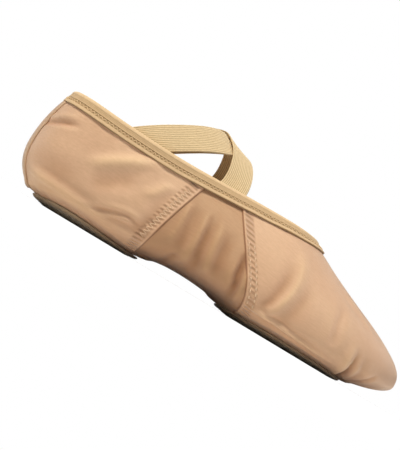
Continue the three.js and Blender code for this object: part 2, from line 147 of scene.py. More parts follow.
# Curves of the last
def column_curve(xs, ys):
    xs = np.asarray(xs, float)
    ys = np.asarray(ys, float)
    gaps = np.diff(xs)
    rise = np.diff(ys) / gaps
    inner = (rise[:-1] * gaps[1:] + rise[1:] * gaps[:-1]) / (gaps[:-1] + gaps[1:])
    slopes = np.concatenate([rise[:1], inner, rise[-1:]])

    def at(x):
        x = np.clip(x, xs[0], xs[-1])
        i = np.clip(np.searchsorted(xs, x) - 1, 0, len(xs) - 2)
        span = xs[i + 1] - xs[i]
        t = (x - xs[i]) / span
        blend = t * t * (3 - 2 * t)
        lead = t * (1 - t) ** 2 * slopes[i]
        trail = t * t * (t - 1) * slopes[i + 1]
        return ys[i] + (ys[i + 1] - ys[i]) * blend + span * (lead + trail)

    return at


def closed_curve(points):
    points = np.asarray(points, float)
    count = len(points)

    def at(t):
        place = np.mod(t, 1.0) * count
        first = np.floor(place).astype(int)
        w = (place - first)[..., None]
        a, b, c, d = (points[(first + k) % count] for k in (-1, 0, 1, 2))
        lead = (c - a) / 2
        trail = (d - b) / 2
        return b + w * lead + w**2 * (3 * (c - b) - 2 * lead - trail) + w**3 * (2 * (b - c) + lead + trail)

    return at


profile = {name: column_curve(PROFILE[:, 0], PROFILE[:, i + 1]) for i, name in enumerate(COLUMNS)}
OUTLINE = closed_curve(np.vstack([STATIONS[:, 2:4], STATIONS[-2:0:-1, 4:6]]))
SPINE = closed_curve(np.vstack([STATIONS[:, 0:2], STATIONS[-2:0:-1, 0:2]]))
SPINE_U = np.linspace(0, 1, 4001)
SPINE_X = SPINE(SPINE_U / 2)[:, 0]


def section_at(x):
    return np.interp(x, SPINE_X, SPINE_U)


def section_line(u, lateral, offset):
    t = np.where(lateral, u / 2, 1 - u / 2)
    along = OUTLINE(t + SLOPE_STEP / 10) - OUTLINE(t - SLOPE_STEP / 10)
    outward = unit(np.stack([along[..., 1], -along[..., 0]], -1))
    return SPINE(u / 2), OUTLINE(t) + np.asarray(offset)[..., None] * outward


def last_point(u, turn, offset=0.0):
    """Place on the last, out by offset: turn 0 is under the foot, 0.5 lateral, 1 the ridge, 1.5 medial."""
    u, turn, offset = np.broadcast_arrays(*(np.asarray(v, float) for v in (u, turn, offset)))
    turn = np.mod(turn, 2.0)
    lateral = turn <= 1.0
    half = np.where(lateral, turn, 2.0 - turn)
    start, end = section_line(u, lateral, offset)
    top = half > 0.5
    power = np.where(top, profile["crown_power"](end[..., 0]), profile["sole_power"](end[..., 0]))
    angle = math.pi * np.minimum(half, 1 - half)
    out, up = np.sin(angle), np.cos(angle)
    size = (out**power + up**power) ** (-1 / power)
    plan = start + (end - start) * (out * size)[..., None]
    x = plan[..., 0]
    widest = profile["widest"](x)
    over = widest + (profile["crown"](x) + offset - widest) * up * size
    under = np.maximum(widest - (widest - profile["sole"](x) + offset) * up * size, FLAT_HEIGHT - offset)
    return np.concatenate([plan, np.where(top, over, under)[..., None]], -1)


def last_normal(u, turn, offset=0.0):
    e = SLOPE_STEP
    along = last_point(u + e, turn, offset) - last_point(u - e, turn, offset)
    around = last_point(u, turn + e, offset) - last_point(u, turn - e, offset)
    normal = np.cross(along, around)
    size = np.linalg.norm(normal, axis=-1, keepdims=True)
    return np.where(size > NO_AREA, normal / np.maximum(size, NO_AREA), DOWN)


def walk(u, turn, offset, direction, distance):
    """Section and turn reached by going a distance over the last in a direction."""
    for _ in range(WALK_STEPS):
        here = last_point(u, turn, offset)
        along = (last_point(u + SLOPE_STEP, turn, offset) - here) / SLOPE_STEP
        around = (last_point(u, turn + SLOPE_STEP, offset) - here) / SLOPE_STEP
        go = direction * (np.asarray(distance) / WALK_STEPS)[..., None]
        aa, ab, bb = (along**2).sum(-1), (along * around).sum(-1), (around**2).sum(-1)
        ga, gb = (along * go).sum(-1), (around * go).sum(-1)
        det = aa * bb - ab * ab
        u = u + (bb * ga - ab * gb) / det
        turn = turn + (aa * gb - ab * ga) / det
    return u, turn


def solve(low, high, test):
    """Places between low and high, for whole arrays, where a test changes sign."""
    a = np.asarray(low, float).copy()
    b = np.asarray(high, float).copy()
    sign = np.sign(test(a))
    for _ in range(HALVINGS):
        middle = (a + b) / 2
        same = np.sign(test(middle)) == sign
        a = np.where(same, middle, a)
        b = np.where(same, b, middle)
    return (a + b) / 2


def side_turn(half, lateral):
    return half if lateral else 2 - half


def lean(half):
    level = np.where(half < 0.5, 0.5 - (0.5 - half) * LOWER_LEAN, half)
    return smoothstep(*LEAN, level)


def seam_line(seam, half):
    under, top = section_at(np.array(seam, float))
    return under + (top - under) * lean(half)


def collar_half(under, top, lateral):
    def over(half):
        point = last_point(under + (top - under) * lean(half), side_turn(half, lateral))
        return point[..., 2] - profile["collar"](point[..., 0])

    ones = np.ones_like(under)
    return np.where(over(ones) <= TOUCHING, 1.0, solve(ones / 2, ones, over))


def in_oval(oval, inset, x, y):
    forward = (x - oval["x"]) / (oval["half_length"] - inset)
    half_width = (oval["half_width"] - inset) * (1 + oval["taper"] * forward)
    side = (y - oval["y"] - oval["sway"] * (x - oval["x"])) / half_width
    return np.abs(forward) ** oval["power"] + np.abs(side) ** oval["power"] - 1


def oval_plan(oval, angle, share):
    out, up = np.abs(np.sin(angle)), np.abs(np.cos(angle))
    size = (out ** oval["power"] + up ** oval["power"]) ** (-1 / oval["power"]) * share
    forward = np.sign(np.cos(angle)) * up * size
    side = np.sign(np.sin(angle)) * out * size
    x = oval["x"] + oval["half_length"] * forward
    sway = oval["sway"] * oval["half_length"] * forward
    y = oval["y"] + sway + oval["half_width"] * (1 + oval["taper"] * forward) * side
    return x, y


def opening_half(under, top, lateral):
    def outside(half):
        point = last_point(under + (top - under) * lean(half), side_turn(half, lateral))
        ovals = [in_oval(oval, LASTING_MARGIN, point[..., 0], point[..., 1]) for oval in (HEEL_PAD, FORE_PAD)]
        return np.minimum(*ovals)

    none = np.zeros_like(under)
    return np.where(outside(none) >= 0, 0.0, solve(none, none + 0.5, outside))


def underside(x, y, offset):
    """Height of the last's underside over places in plan."""
    lateral = y <= SPINE(section_at(x) / 2)[..., 1]
    side = np.where(lateral, 1.0, -1.0)
    behind = np.where(x < FAN["heel"], 0.0, section_at(np.minimum(x - FAN["slant"], FAN["toe"])))
    ahead = np.where(x > FAN["toe"], 1.0, section_at(np.maximum(x + FAN["slant"], FAN["heel"])))

    def across(u):
        start, end = section_line(u, lateral, offset)
        way = end - start
        return side * (way[..., 0] * (y - start[..., 1]) - way[..., 1] * (x - start[..., 0])) + TOUCHING

    start, end = section_line(solve(behind, ahead, across), lateral, offset)
    r = np.hypot(x - start[..., 0], y - start[..., 1]) / np.linalg.norm(end - start, axis=-1)
    power = profile["sole_power"](end[..., 0])
    widest = profile["widest"](x)
    drop = (widest - profile["sole"](x) + offset) * (1 - np.minimum(r, 1) ** power) ** (1 / power)
    return np.maximum(widest - drop, FLAT_HEIGHT - offset)


def crown_over_collar(x):
    return profile["crown"](x) - profile["collar"](x)


THROAT_REACH = (0.0, 80.0)  # the crown comes down to the height of the collar between these
THROAT = float(section_at(solve(*map(np.array, THROAT_REACH), crown_over_collar)))

# Creases placed one by one. Each path gives station and share of the half section, 0.28 at a pad's
# edge and 0.5 at the widest level; depth below the canvas, a ridge where it is negative, and a lip
# on either side. Paths that climb the lateral side have lip_ahead on the toe side.
CREASE_COLUMNS = ("path", "width", "depth", "lip_ahead", "lip_behind")
LATERAL_CREASES = (
    # heel quarter: trough under the collar, long folds towards the seam, hollow and roll over the pad
    ([(0.2, 0.56), (0.6, 0.582), (1.0, 0.598), (1.4, 0.607)], 2.0, 1.7, 0.3, 0.6),
    ([(1.7, 0.518), (1.97, 0.548), (2.24, 0.58), (2.5, 0.608), (2.8, 0.64)], 3.2, -1.8, -0.2, -0.1),
    ([(1.9, 0.475), (2.15, 0.505), (2.4, 0.537), (2.65, 0.57)], 4.5, 1.2),
    ([(2.66, 0.53), (2.79, 0.555), (2.88, 0.58), (2.97, 0.606)], 2.4, -1.0, -0.3, -0.2),
    ([(2.05, 0.31), (2.25, 0.345), (2.44, 0.389), (2.66, 0.426), (2.79, 0.41), (2.9, 0.39)],
     1.3, 1.1, 0.5, 0.4),
    ([(2.36, 0.33), (2.62, 0.36), (2.88, 0.378)], 2.2, 0.9, 0.3, 0.3),
    ([(0.5, 0.42), (1.2, 0.42), (2.0, 0.43)], 6.0, 1.0, 0.3, 0.3),
    ([(0.4, 0.325), (1.2, 0.325), (2.0, 0.322), (2.7, 0.315)], 2.2, -1.2, 0.0, -0.4),
    ([(3.0, 0.60), (2.98, 0.52), (2.92, 0.44), (2.84, 0.36), (2.8, 0.30)], 4.0, 1.5),
    # arch gore: folds that hang from the collar to the arch, the deepest beside the front seam
    ([(3.30, 0.61), (3.28, 0.567), (3.27, 0.50), (3.27, 0.445), (3.25, 0.38)], 2.0, -0.8),
    ([(3.36, 0.625), (3.40, 0.553), (3.42, 0.46), (3.42, 0.357)], 2.4, 0.9),
    ([(3.55, 0.63), (3.56, 0.578), (3.566, 0.507), (3.56, 0.42), (3.555, 0.315), (3.55, 0.25)],
     2.5, -1.25, -0.2, -0.1),
    ([(3.62, 0.633), (3.64, 0.57), (3.666, 0.505), (3.70, 0.39), (3.72, 0.287), (3.68, 0.15)],
     2.4, 1.5, 0.1, 0.1),
    ([(3.46, 0.35), (3.44, 0.30), (3.40, 0.20), (3.38, 0.12)], 1.8, 1.0, 0.2, 0.2),
    ([(3.766, 0.635), (3.79, 0.58), (3.805, 0.53), (3.85, 0.43), (3.866, 0.352), (3.874, 0.27)],
     2.5, -1.25, -0.2, -0.1),
    ([(3.99, 0.626), (3.955, 0.546), (3.98, 0.47), (4.0, 0.40), (4.0, 0.33)], 2.6, 1.3, 0.1, 0.1),
    ([(4.20, 0.566), (4.18, 0.50), (4.20, 0.40), (4.21, 0.31)], 2.6, -0.6),
    ([(4.25, 0.60), (4.26, 0.55), (4.28, 0.49), (4.31, 0.43), (4.34, 0.30), (4.37, 0.165)],
     1.9, 2.5, 0.2, 0.2),
    ([(4.38, 0.54), (4.39, 0.497), (4.405, 0.36), (4.42, 0.20)], 1.6, -0.8),
    # vamp: ridge from the throat to the foot of the seam, slack beside it, pad edge, streaks above
    ([(4.82, 0.32), (4.88, 0.37), (4.93, 0.43), (4.99, 0.50), (5.05, 0.575), (5.07, 0.63)],
     1.7, -0.5),
    ([(4.84, 0.34), (4.97, 0.48), (5.05, 0.575), (5.06, 0.64), (5.02, 0.70), (4.97, 0.77)],
     3.5, -1.35, 0.1, -0.2),
    ([(4.98, 0.27), (5.11, 0.39), (5.21, 0.50), (5.28, 0.583), (5.31, 0.68)], 4.2, 1.0),
    ([(4.92, 0.70), (4.93, 0.585), (4.87, 0.50), (4.80, 0.42), (4.74, 0.36)], 2.8, 1.5),
    ([(4.45, 0.325), (4.8, 0.343), (5.3, 0.346), (5.8, 0.330), (6.35, 0.302)], 1.3, -1.3, -0.6, -0.5),
    ([(5.98, 0.44), (5.95, 0.54), (5.92, 0.62), (5.9, 0.72)], 2.8, 0.8, 0.3, 0.2),
    ([(5.75, 0.80), (6.3, 0.766), (6.8, 0.714)], 2.6, -0.6, -0.2, -0.2),
    # toe: deep pleat at the tip of the pad with a bulge behind it, and smaller pleats that fan out ahead
    ([(6.64, 0.12), (6.60, 0.19), (6.55, 0.30), (6.50, 0.40), (6.48, 0.50), (6.47, 0.58)],
     1.6, 2.4, 0.4, 0.3),
    ([(6.50, 0.14), (6.46, 0.22), (6.41, 0.32), (6.36, 0.42), (6.34, 0.52), (6.33, 0.62)],
     2.3, -1.2),
    ([(6.70, 0.20), (6.64, 0.30), (6.585, 0.40), (6.56, 0.50)], 1.3, -0.7),
    ([(6.80, 0.24), (6.74, 0.36), (6.68, 0.48), (6.62, 0.58)], 2.4, 0.8),
    ([(6.93, 0.12), (6.97, 0.25), (7.0, 0.34), (7.05, 0.43), (7.12, 0.52)], 1.6, 1.1, 0.4, 0.4),
    ([(7.35, 0.18), (7.6, 0.27), (7.95, 0.35)], 1.4, -0.6),
)

# The medial side is hidden in the photo and has the same kinds of fold, plainer
MEDIAL_CREASES = (
    ([(0.3, 0.565), (0.9, 0.595), (1.6, 0.61)], 2.2, 1.5, 0.8, 0.2),
    ([(1.8, 0.51), (2.2, 0.56), (2.5, 0.60)], 2.8, -1.2, -0.3, -0.7),
    ([(2.0, 0.40), (2.5, 0.42), (2.85, 0.41)], 2.0, 1.1, 0.6, 0.3),
    ([(3.35, 0.33), (3.28, 0.45), (3.36, 0.63)], 1.6, -1.0, -0.2, -0.6),
    ([(3.72, 0.24), (3.66, 0.42), (3.62, 0.63)], 2.6, 1.5, 0.5, 0.5),
    ([(3.98, 0.30), (3.92, 0.46), (3.86, 0.63)], 1.6, -1.0, -0.2, -0.6),
    ([(4.28, 0.27), (4.28, 0.42), (4.22, 0.58)], 2.0, 2.0, 0.5, 0.5),
    ([(4.70, 0.39), (4.90, 0.54), (5.15, 0.74)], 3.2, -1.0, -0.1, -0.5),
    ([(4.60, 0.335), (5.4, 0.345), (6.3, 0.305)], 1.4, -1.0, -0.5, -0.4),
    ([(6.50, 0.285), (6.45, 0.37), (6.4, 0.45)], 1.8, 1.9, 0.6, 0.6),
    ([(6.8, 0.25), (7.1, 0.33)], 1.6, 0.8, 0.3, 0.3),
)

CREASES = [dict(zip(CREASE_COLUMNS, row), lateral=True) for row in LATERAL_CREASES]
CREASES += [dict(zip(CREASE_COLUMNS, row), lateral=False) for row in MEDIAL_CREASES]
CREASE_SAMPLES = 24
CREASE_FADE = 0.34
CREASE_REACH = 4.0
LIP_PLACE = 1.7  # a lip stands this many widths beside its crease

# Canvas outside a pad's edge: drawn in along it, then a roll, with pleats at the round ends
EDGE_GROOVE = {"depth": 0.3, "width": 1.2}
EDGE_ROLL = {"height": 0.55, "place": 4.6, "width": 2.0}
PLEATS = {"side": 0.06, "end": 0.42, "end_power": 3, "place": 1.0, "reach": 5.0, "pitch": 6.4}
PLEAT_DRIFT = ((0.35, 9.0), (0.2, 4.1))  # uneven spacing, in pitches, and the length it varies over
PAD_NEAR = {"height": 30.0, "margin": 16.0, "fade": (-0.02, 0.06)}
SEAT_FADE = (0.0, 0.25)
SEAT_HEIGHT = 20.0

# Slack in the canvas: radians per millimetre along x, y and z, and a phase
SLACK_HEIGHT = 0.11
SLACK_WAVES = ((1 / 9.1, 0, 1 / 13, 0), (-1 / 21, 0, 1 / 7.3, 1.3), (1 / 17, 2 / 17, 0, 2.1))
COLLAR_HOLD = (1.5, 8.0)  # folds die out between these distances below the collar's edge


def polyline_distance(points, normals, line):
    """Distance to a line of points, the signed distance across it and the share of it passed."""
    starts, ways = line[:-1], np.diff(line, axis=0)
    lengths = (ways**2).sum(-1)
    rel = points[:, None] - starts
    t = np.clip((rel * ways).sum(-1) / lengths, 0, 1)
    off = rel - t[..., None] * ways
    distance = np.linalg.norm(off, axis=-1)
    best = distance.argmin(1)
    rows = np.arange(len(points))
    side = (np.cross(ways[best], normals) * off[rows, best]).sum(-1)
    share = (best + t[rows, best]) / len(ways)
    nearest = distance[rows, best]
    return nearest, np.sign(side) * nearest, share


def crease_line(crease):
    path = np.array(crease["path"], float)
    fine = np.linspace(0, len(path) - 1, CREASE_SAMPLES)
    station, half = (column_curve(np.arange(len(path)), column)(fine) for column in path.T)
    return last_point(station / LAST_STATION, side_turn(half, crease["lateral"]))


CREASE_LINES = [crease_line(crease) for crease in CREASES]


def crease_relief(points, normals):
    relief = np.zeros(len(points))
    for crease, line in zip(CREASES, CREASE_LINES):
        width = crease["width"]
        reach = CREASE_REACH * width
        near = ((points > line.min(0) - reach) & (points < line.max(0) + reach)).all(-1)
        if not near.any():
            continue
        distance, across, share = polyline_distance(points[near], normals[near], line)
        ends = smoothstep(0, CREASE_FADE, share) * smoothstep(0, CREASE_FADE, 1 - share)
        beyond = bump(np.maximum(distance - np.abs(across), 0), width)
        trough = -crease["depth"] * bump(distance, width)
        ahead = crease.get("lip_ahead", 0.0) * bump(across - LIP_PLACE * width, width)
        behind = crease.get("lip_behind", 0.0) * bump(across + LIP_PLACE * width, width)
        relief[near] += ends * beyond * (trough + ahead + behind)
    return relief


def pad_outline(oval, offset, count=121, inset=0.0):
    x, y = oval_plan(oval, np.linspace(0, 2 * math.pi, count), 1 - inset / oval["half_width"])
    return np.stack([x, y, underside(x, y, offset)], -1)


PAD_LINES = [(oval, pad_outline(oval, 0.0)) for oval in (HEEL_PAD, FORE_PAD)]


def pad_relief(points, normals):
    """Roll of the canvas over each pad's edge, and the pleats gathered at its round ends."""
    relief = np.zeros(len(points))
    for oval, line in PAD_LINES:
        beside = in_oval(oval, -PAD_NEAR["margin"], points[:, 0], points[:, 1]) < 0
        near = (points[:, 2] < PAD_NEAR["height"]) & beside
        distance, _, share = polyline_distance(points[near], normals[near], line)
        outside = smoothstep(*PAD_NEAR["fade"], in_oval(oval, 0, points[near, 0], points[near, 1]))
        ends = np.abs(np.cos(share * 2 * math.pi)) ** PLEATS["end_power"]
        length = share * math.pi * (oval["half_length"] + oval["half_width"])
        phase = length / PLEATS["pitch"] + sum(part * np.sin(length / run) for part, run in PLEAT_DRIFT)
        pleats = (PLEATS["side"] + PLEATS["end"] * ends) * np.cos(2 * math.pi * phase)
        pleats = pleats * bump(distance - PLEATS["place"], PLEATS["reach"])
        roll = EDGE_ROLL["height"] * bump(distance - EDGE_ROLL["place"], EDGE_ROLL["width"])
        groove = EDGE_GROOVE["depth"] * bump(distance, EDGE_GROOVE["width"])
        relief[near] += outside * (roll - groove + pleats)
    return relief


def soft_relief(points):
    """Slack in the canvas, a fraction of a millimetre over a few centimetres."""
    return SLACK_HEIGHT * sum(np.sin(points @ np.array(wave[:3]) + wave[3]) for wave in SLACK_WAVES)


# Gore seams: span of the half section that is sewn, and stitch pitch and rows beside the edge
SEAM_SPAN = (0.2, 0.8)
REAR_PITCH = 2.3
FRONT_PITCH = 3.0
REAR_ROWS = (1.7, 5.2)
FRONT_ROWS = (2.2, 5.6)
SEAM_HALVES = np.linspace(*SEAM_SPAN, 200)
SEAM_STEP = 0.7  # the panels step down to the gore over this distance
TURNED_EDGE = {"height": 0.18, "place": 0.8, "width": 0.9}
SUNK_GORE = {"depth": 0.3, "place": 1.8, "width": 1.6}
# Puckers beside the rear and the front seam: height, place, width, and share and rate of their unevenness
PUCKERS = ((0.12, 3.4, 2.6, 0.8, 1.9), (0.08, 3.9, 2.4, 0.6, 2.3))


def seam_lengths(seam):
    return run_length(last_point(seam_line(seam, SEAM_HALVES), SEAM_HALVES))


REAR_LENGTHS = seam_lengths(REAR_SEAM)
FRONT_LENGTHS = seam_lengths(FRONT_SEAM)


def seam_distances(u, half):
    rear = (u - seam_line(REAR_SEAM, half)) / U_PER_MM
    front = (u - seam_line(FRONT_SEAM, half)) / U_PER_MM
    return rear, front


def seam_counts(half):
    """Stitches passed along each seam."""
    rear = np.interp(half, SEAM_HALVES, REAR_LENGTHS) / REAR_PITCH
    front = np.interp(half, SEAM_HALVES, FRONT_LENGTHS) / FRONT_PITCH
    return rear, front


def panel_relief(u, half):
    """Step from quarter and vamp down to the gore, with the turned edge and stitch puckers beside it."""
    rear, front = seam_distances(u, half)
    gore, edge, sunk, puckers = 1.0, 0.0, 0.0, 0.0
    for panel, count, (height, place, width, share, rate) in zip((-rear, front), seam_counts(half), PUCKERS):
        gore = gore * smoothstep(0.0, SEAM_STEP, -panel)
        edge = edge + bump(panel - TURNED_EDGE["place"], TURNED_EDGE["width"])
        sunk = sunk + bump(panel + SUNK_GORE["place"], SUNK_GORE["width"])
        wave = np.cos(2 * math.pi * count) + share * np.sin(rate * count)
        puckers = puckers + height * bump(panel - place, width) * wave
    raised = PANEL_STEP + TURNED_EDGE["height"] * edge + puckers
    return (1 - gore) * raised - SUNK_GORE["depth"] * gore * sunk


def pad_seat(points):
    """1 where a pad lies under the canvas, which is drawn down on to it, falling to 0 outside."""
    x, y, z = points.T
    outside = np.minimum(*(in_oval(oval, 0, x, y) for oval in (HEEL_PAD, FORE_PAD)))
    return (1 - smoothstep(*SEAT_FADE, outside)) * (z < SEAT_HEIGHT)


def collar_fade(points):
    """Folds die out where the binding holds the canvas to the line of the collar."""
    below = profile["collar"](points[:, 0]) - points[:, 2]
    return smoothstep(*COLLAR_HOLD, below)


def canvas(u, turn):
    """Base place, normal, step of the panels and relief of the folds, for flat arrays."""
    points = last_point(u, turn)
    normals = last_normal(u, turn)
    half = np.where(np.mod(turn, 2) <= 1, np.mod(turn, 2), 2 - np.mod(turn, 2))
    folds = crease_relief(points, normals) + pad_relief(points, normals) + soft_relief(points)
    step = np.maximum(panel_relief(u, half), PANEL_STEP * pad_seat(points))
    return points, normals, step, folds * collar_fade(points)


def skin(u, turn, lift):
    """Places a little above the finished canvas."""
    u, turn, lift = np.broadcast_arrays(u, turn, lift)
    points, normals, step, folds = canvas(u.ravel(), turn.ravel())
    height = step + folds + lift.ravel()
    return (points + normals * height[:, None]).reshape(u.shape + (3,)), normals.reshape(u.shape + (3,))


# Meshes
def grid_quads(rows, columns, first=0, flip=False, wrap=False):
    i, j = np.meshgrid(np.arange(rows - 1), np.arange(columns if wrap else columns - 1), indexing="ij")
    k = (j + 1) % columns
    quads = np.stack([i * columns + j, (i + 1) * columns + j, (i + 1) * columns + k, i * columns + k], -1)
    quads = quads.reshape(-1, 4) + first
    return quads[:, ::-1] if flip else quads


def swept_faces(sections, count):
    """Faces of a flat loop swept through its sections, with a cap of quads at either end."""
    quads = grid_quads(sections, count, wrap=True).tolist()
    for first, flip in ((0, True), ((sections - 1) * count, False)):
        for k in range(count // 2 - 1):
            cap = [first + k, first + count - 1 - k, first + count - 2 - k, first + k + 1]
            quads.append(cap[::-1] if flip else cap)
    return quads


def make_piece(name, points, faces, materials, nodes=(), maps=None, values=None,
               indices=None, merge=0.0):
    mesh = bpy.data.meshes.new(name)
    mesh.from_pydata((np.asarray(points) * MM).tolist(), [], [list(map(int, face)) for face in faces])
    for material in materials:
        mesh.materials.append(material)
    if indices is not None:
        mesh.polygons.foreach_set("material_index", np.asarray(indices, np.int32))
    corner = np.empty(len(mesh.loops), np.int32)
    mesh.loops.foreach_get("vertex_index", corner)
    for key, uv in (maps or {}).items():
        layer = mesh.uv_layers.new(name=key)
        layer.data.foreach_set("uv", np.asarray(uv, np.float32)[corner].ravel())
    for key, value in (values or {}).items():
        attribute = mesh.attributes.new(key, "FLOAT", "POINT")
        attribute.data.foreach_set("value", np.asarray(value, np.float32))
    mesh.polygons.foreach_set("use_smooth", np.ones(len(mesh.polygons), bool))
    if merge:
        editable = bmesh.new()
        editable.from_mesh(mesh)
        bmesh.ops.remove_doubles(editable, verts=editable.verts, dist=merge * MM)
        bmesh.ops.dissolve_degenerate(editable, edges=editable.edges, dist=merge * MM)
        editable.to_mesh(mesh)
        editable.free()
    mesh.update()
    piece = bpy.data.objects.new(name, mesh)
    bpy.context.scene.collection.objects.link(piece)
    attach(piece, BODY)
    for node in nodes:
        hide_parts(node)
    return piece


# Upper: columns from heel to toe, closer together beside the seams
UPPER_ROWS = 156
SEAM_BAND = 8.0
WELD = 0.002  # points of the two sides that meet are merged within this


def upper_columns():
    rear = section_at(np.array(REAR_SEAM, float))
    front = section_at(np.array(FRONT_SEAM, float))
    tip = np.array([THROAT, THROAT])
    band, step = SEAM_BAND * U_PER_MM, SEAM_STEP * U_PER_MM
    # end of each run of columns, how many there are in it, and how much closer they get towards its end
    stops = [
        (rear - band, 56, 1),
        (rear, 13, 1),
        (rear + step, 4, 1),
        (front - step, 48, 1),
        (front, 4, 1),
        (front + band, 13, 1),
        (tip, 26, 2),
        (np.ones(2), 72, 1),
    ]
    columns = [np.zeros(2)]
    for high, count, ease in stops:
        low = columns[-1]
        t = np.arange(1, count + 1) / count
        share = 1 - (1 - t) ** ease
        columns.extend(low + (high - low) * s for s in share)
    return np.array(columns)


def make_upper(material, lining):
    """Outer face and rims of canvas, and an inner face of lining with half as many rows and columns."""
    columns = upper_columns()
    under, top = columns.T
    count, rows = len(columns), UPPER_ROWS + 1
    half_count, half_rows = count // 2 + 1, rows // 2 + 1
    v = np.linspace(0, 1, rows)
    points, faces, indices, total = [], [], [], 0
    data = {"cloth": [], "stitch": [], "fold": [], "gore": []}
    for lateral in (True, False):
        low = opening_half(under, top, lateral)
        high = collar_half(under, top, lateral)
        half = low[:, None] + (high - low)[:, None] * v
        u = under[:, None] + (top - under)[:, None] * lean(half)
        base, normals, step, folds = canvas(u.ravel(), side_turn(half, lateral).ravel())
        outer = (base + normals * (step + folds)[:, None]).reshape(count, rows, 3)
        inner = (base + normals * (folds - WALL)[:, None]).reshape(count, rows, 3)[::2, ::2]
        size = count * rows
        faces += grid_quads(count, rows, total, not lateral).tolist()
        indices += [0] * (len(faces) - len(indices))
        faces += grid_quads(half_count, half_rows, total + size, lateral).tolist()
        indices += [1] * (len(faces) - len(indices))
        for row, opened in ((UPPER_ROWS, high < 1), (0, low > 0)):
            for j in np.flatnonzero(opened[:-2:2] | opened[2::2]):
                rim = [total + (2 * j + k) * rows + row for k in range(3)]
                rim += [total + size + (j + k) * half_rows + row // 2 for k in (1, 0)]
                faces.append(rim if lateral == (row > 0) else rim[::-1])
        indices += [0] * (len(faces) - len(indices))
        points += [outer.reshape(-1, 3), inner.reshape(-1, 3)]
        rear, front = seam_distances(u, half)
        rear_count, front_count = seam_counts(half)
        nearer = np.abs(rear) < np.abs(front)
        stitch = np.stack([np.where(nearer, -rear, front), np.where(nearer, rear_count, front_count)], -1)
        layers = {
            "cloth": np.stack([u / U_PER_MM, half / TURN_PER_MM], -1),
            "stitch": stitch,
            "fold": folds.reshape(count, rows),
            "gore": 1 - np.clip(step.reshape(count, rows) / PANEL_STEP, 0, 1),
        }
        for key, layer in layers.items():
            flat = (-1, 2) if layer.ndim == 3 else (-1,)
            data[key] += [layer.reshape(flat), layer[::2, ::2].reshape(flat)]
        total += size + half_count * half_rows
    data = {key: np.concatenate(parts) for key, parts in data.items()}
    maps = {key: data[key] for key in ("cloth", "stitch")}
    values = {key: data[key] for key in ("fold", "gore")}
    return make_piece("canvas_upper", np.vstack(points), faces, [material, lining], ["upper"],
                      maps, values, indices, WELD)


# Collar edge and its binding
EDGE_SECTIONS = 150
EDGE_EASE = 1.6  # sections draw closer together towards the throat


def collar_edge():
    """Places round the edge of the canvas, heel back over the lateral side to the throat and home."""
    t = np.linspace(0, 1, EDGE_SECTIONS + 1)
    top = THROAT * (1 - (1 - t) ** EDGE_EASE)
    sides = []
    for lateral in (True, False):
        half = collar_half(top, top, lateral)
        sides.append(np.stack([top, side_turn(half, lateral)], -1))
    return np.vstack([sides[0], sides[1][-2:0:-1]])


def edge_frames():
    edge = collar_edge()
    u, turn = edge.T
    points = last_point(u, turn)
    along = unit(np.roll(points, -1, 0) - np.roll(points, 1, 0))
    out = last_normal(u, turn)
    down = unit(np.cross(along, out))
    return u, turn, points, out, down, run_length(points)


LEG_POINTS = 43
FOLD_POINTS = 9
TAPE_GROOVES = (1.4, 2.1, 2.8)  # lengthwise grooves, measured down from the rolled edge
GROOVE_WIDTH = 0.24
TAPE_SEWN = (3.7, 5.3)  # the sewn part of the tape is sunk between these
TAPE_RELIEF = {"roll": 0.25, "groove": 0.2, "sewn": 0.36, "edge": 0.3}
# Darkening of the tape's tone: painted shade in the grooves, a painted shadow line at the top of the sewn
# part and a painted shadow at the lower edge; side and sewn darken the tape below the roll and across its
# sewn part
TAPE_SHADE = {"side": 0.16, "groove": 0.42, "sewn": 0.45, "line": 0.25, "edge": 0.9}
TAPE_TUCK = 0.25  # the lower edge is drawn in to the canvas by this
TAPE_WAVES = ((0.1, 4.3, 0.0), (0.08, 2.7, 1.0))  # uneven lower edge: height, length and phase
# Painted shade: the tape is darker where its leg lies inside the collar, darker still where it is hidden
INSIDE_SHADE_TONE, HIDDEN_SHADE_TONE = 0.6, 0.3


def tape_grooves(down):
    return sum(bump(down - place, GROOVE_WIDTH) for place in TAPE_GROOVES)


def sewn_part(down, top_fade, foot_fade):
    top, foot = TAPE_SEWN
    return smoothstep(top + top_fade[0], top + top_fade[1], down) * smoothstep(*foot_fade, foot - down)


def tape_height(down):
    """Height over the plain tape, by distance down from the rolled edge."""
    relief = TAPE_RELIEF
    edge = smoothstep(BINDING_WIDTH - 0.4, BINDING_WIDTH, down)
    sunk = relief["sewn"] * sewn_part(down, (-0.3, 0.2), (-0.2, 0.3)) + relief["edge"] * edge
    return relief["roll"] * bump(down - 0.6, 1.0) - relief["groove"] * tape_grooves(down) - sunk


def tape_tone(down):
    """1 on the pale roll, less on the sewn band, falling to 0 at its top and below the lower edge: painted
    shadow there, and painted shade in the grooves.
    """
    shade = TAPE_SHADE
    side = shade["side"] * smoothstep(0.9, 1.6, down)
    sewn = shade["sewn"] * sewn_part(down, (-0.5, 0.0), (-0.1, 0.4))
    shadow = shade["line"] * bump(down - TAPE_SEWN[0], 0.45)
    # painted shadow under the tape's lower edge
    edge = shade["edge"] * smoothstep(BINDING_WIDTH - 0.35, BINDING_WIDTH - 0.05, down)
    # painted shade in the grooves
    return np.clip(1 - side - sewn - shadow - edge - shade["groove"] * tape_grooves(down), 0, 1)


def tape_point(frames, down, height):
    u, turn, _, _, direction, _ = frames
    leg_u, leg_turn = walk(u, turn, 0.0, direction, np.full(len(u), down))
    return last_point(leg_u, leg_turn) + last_normal(leg_u, leg_turn) * np.asarray(height)[..., None]


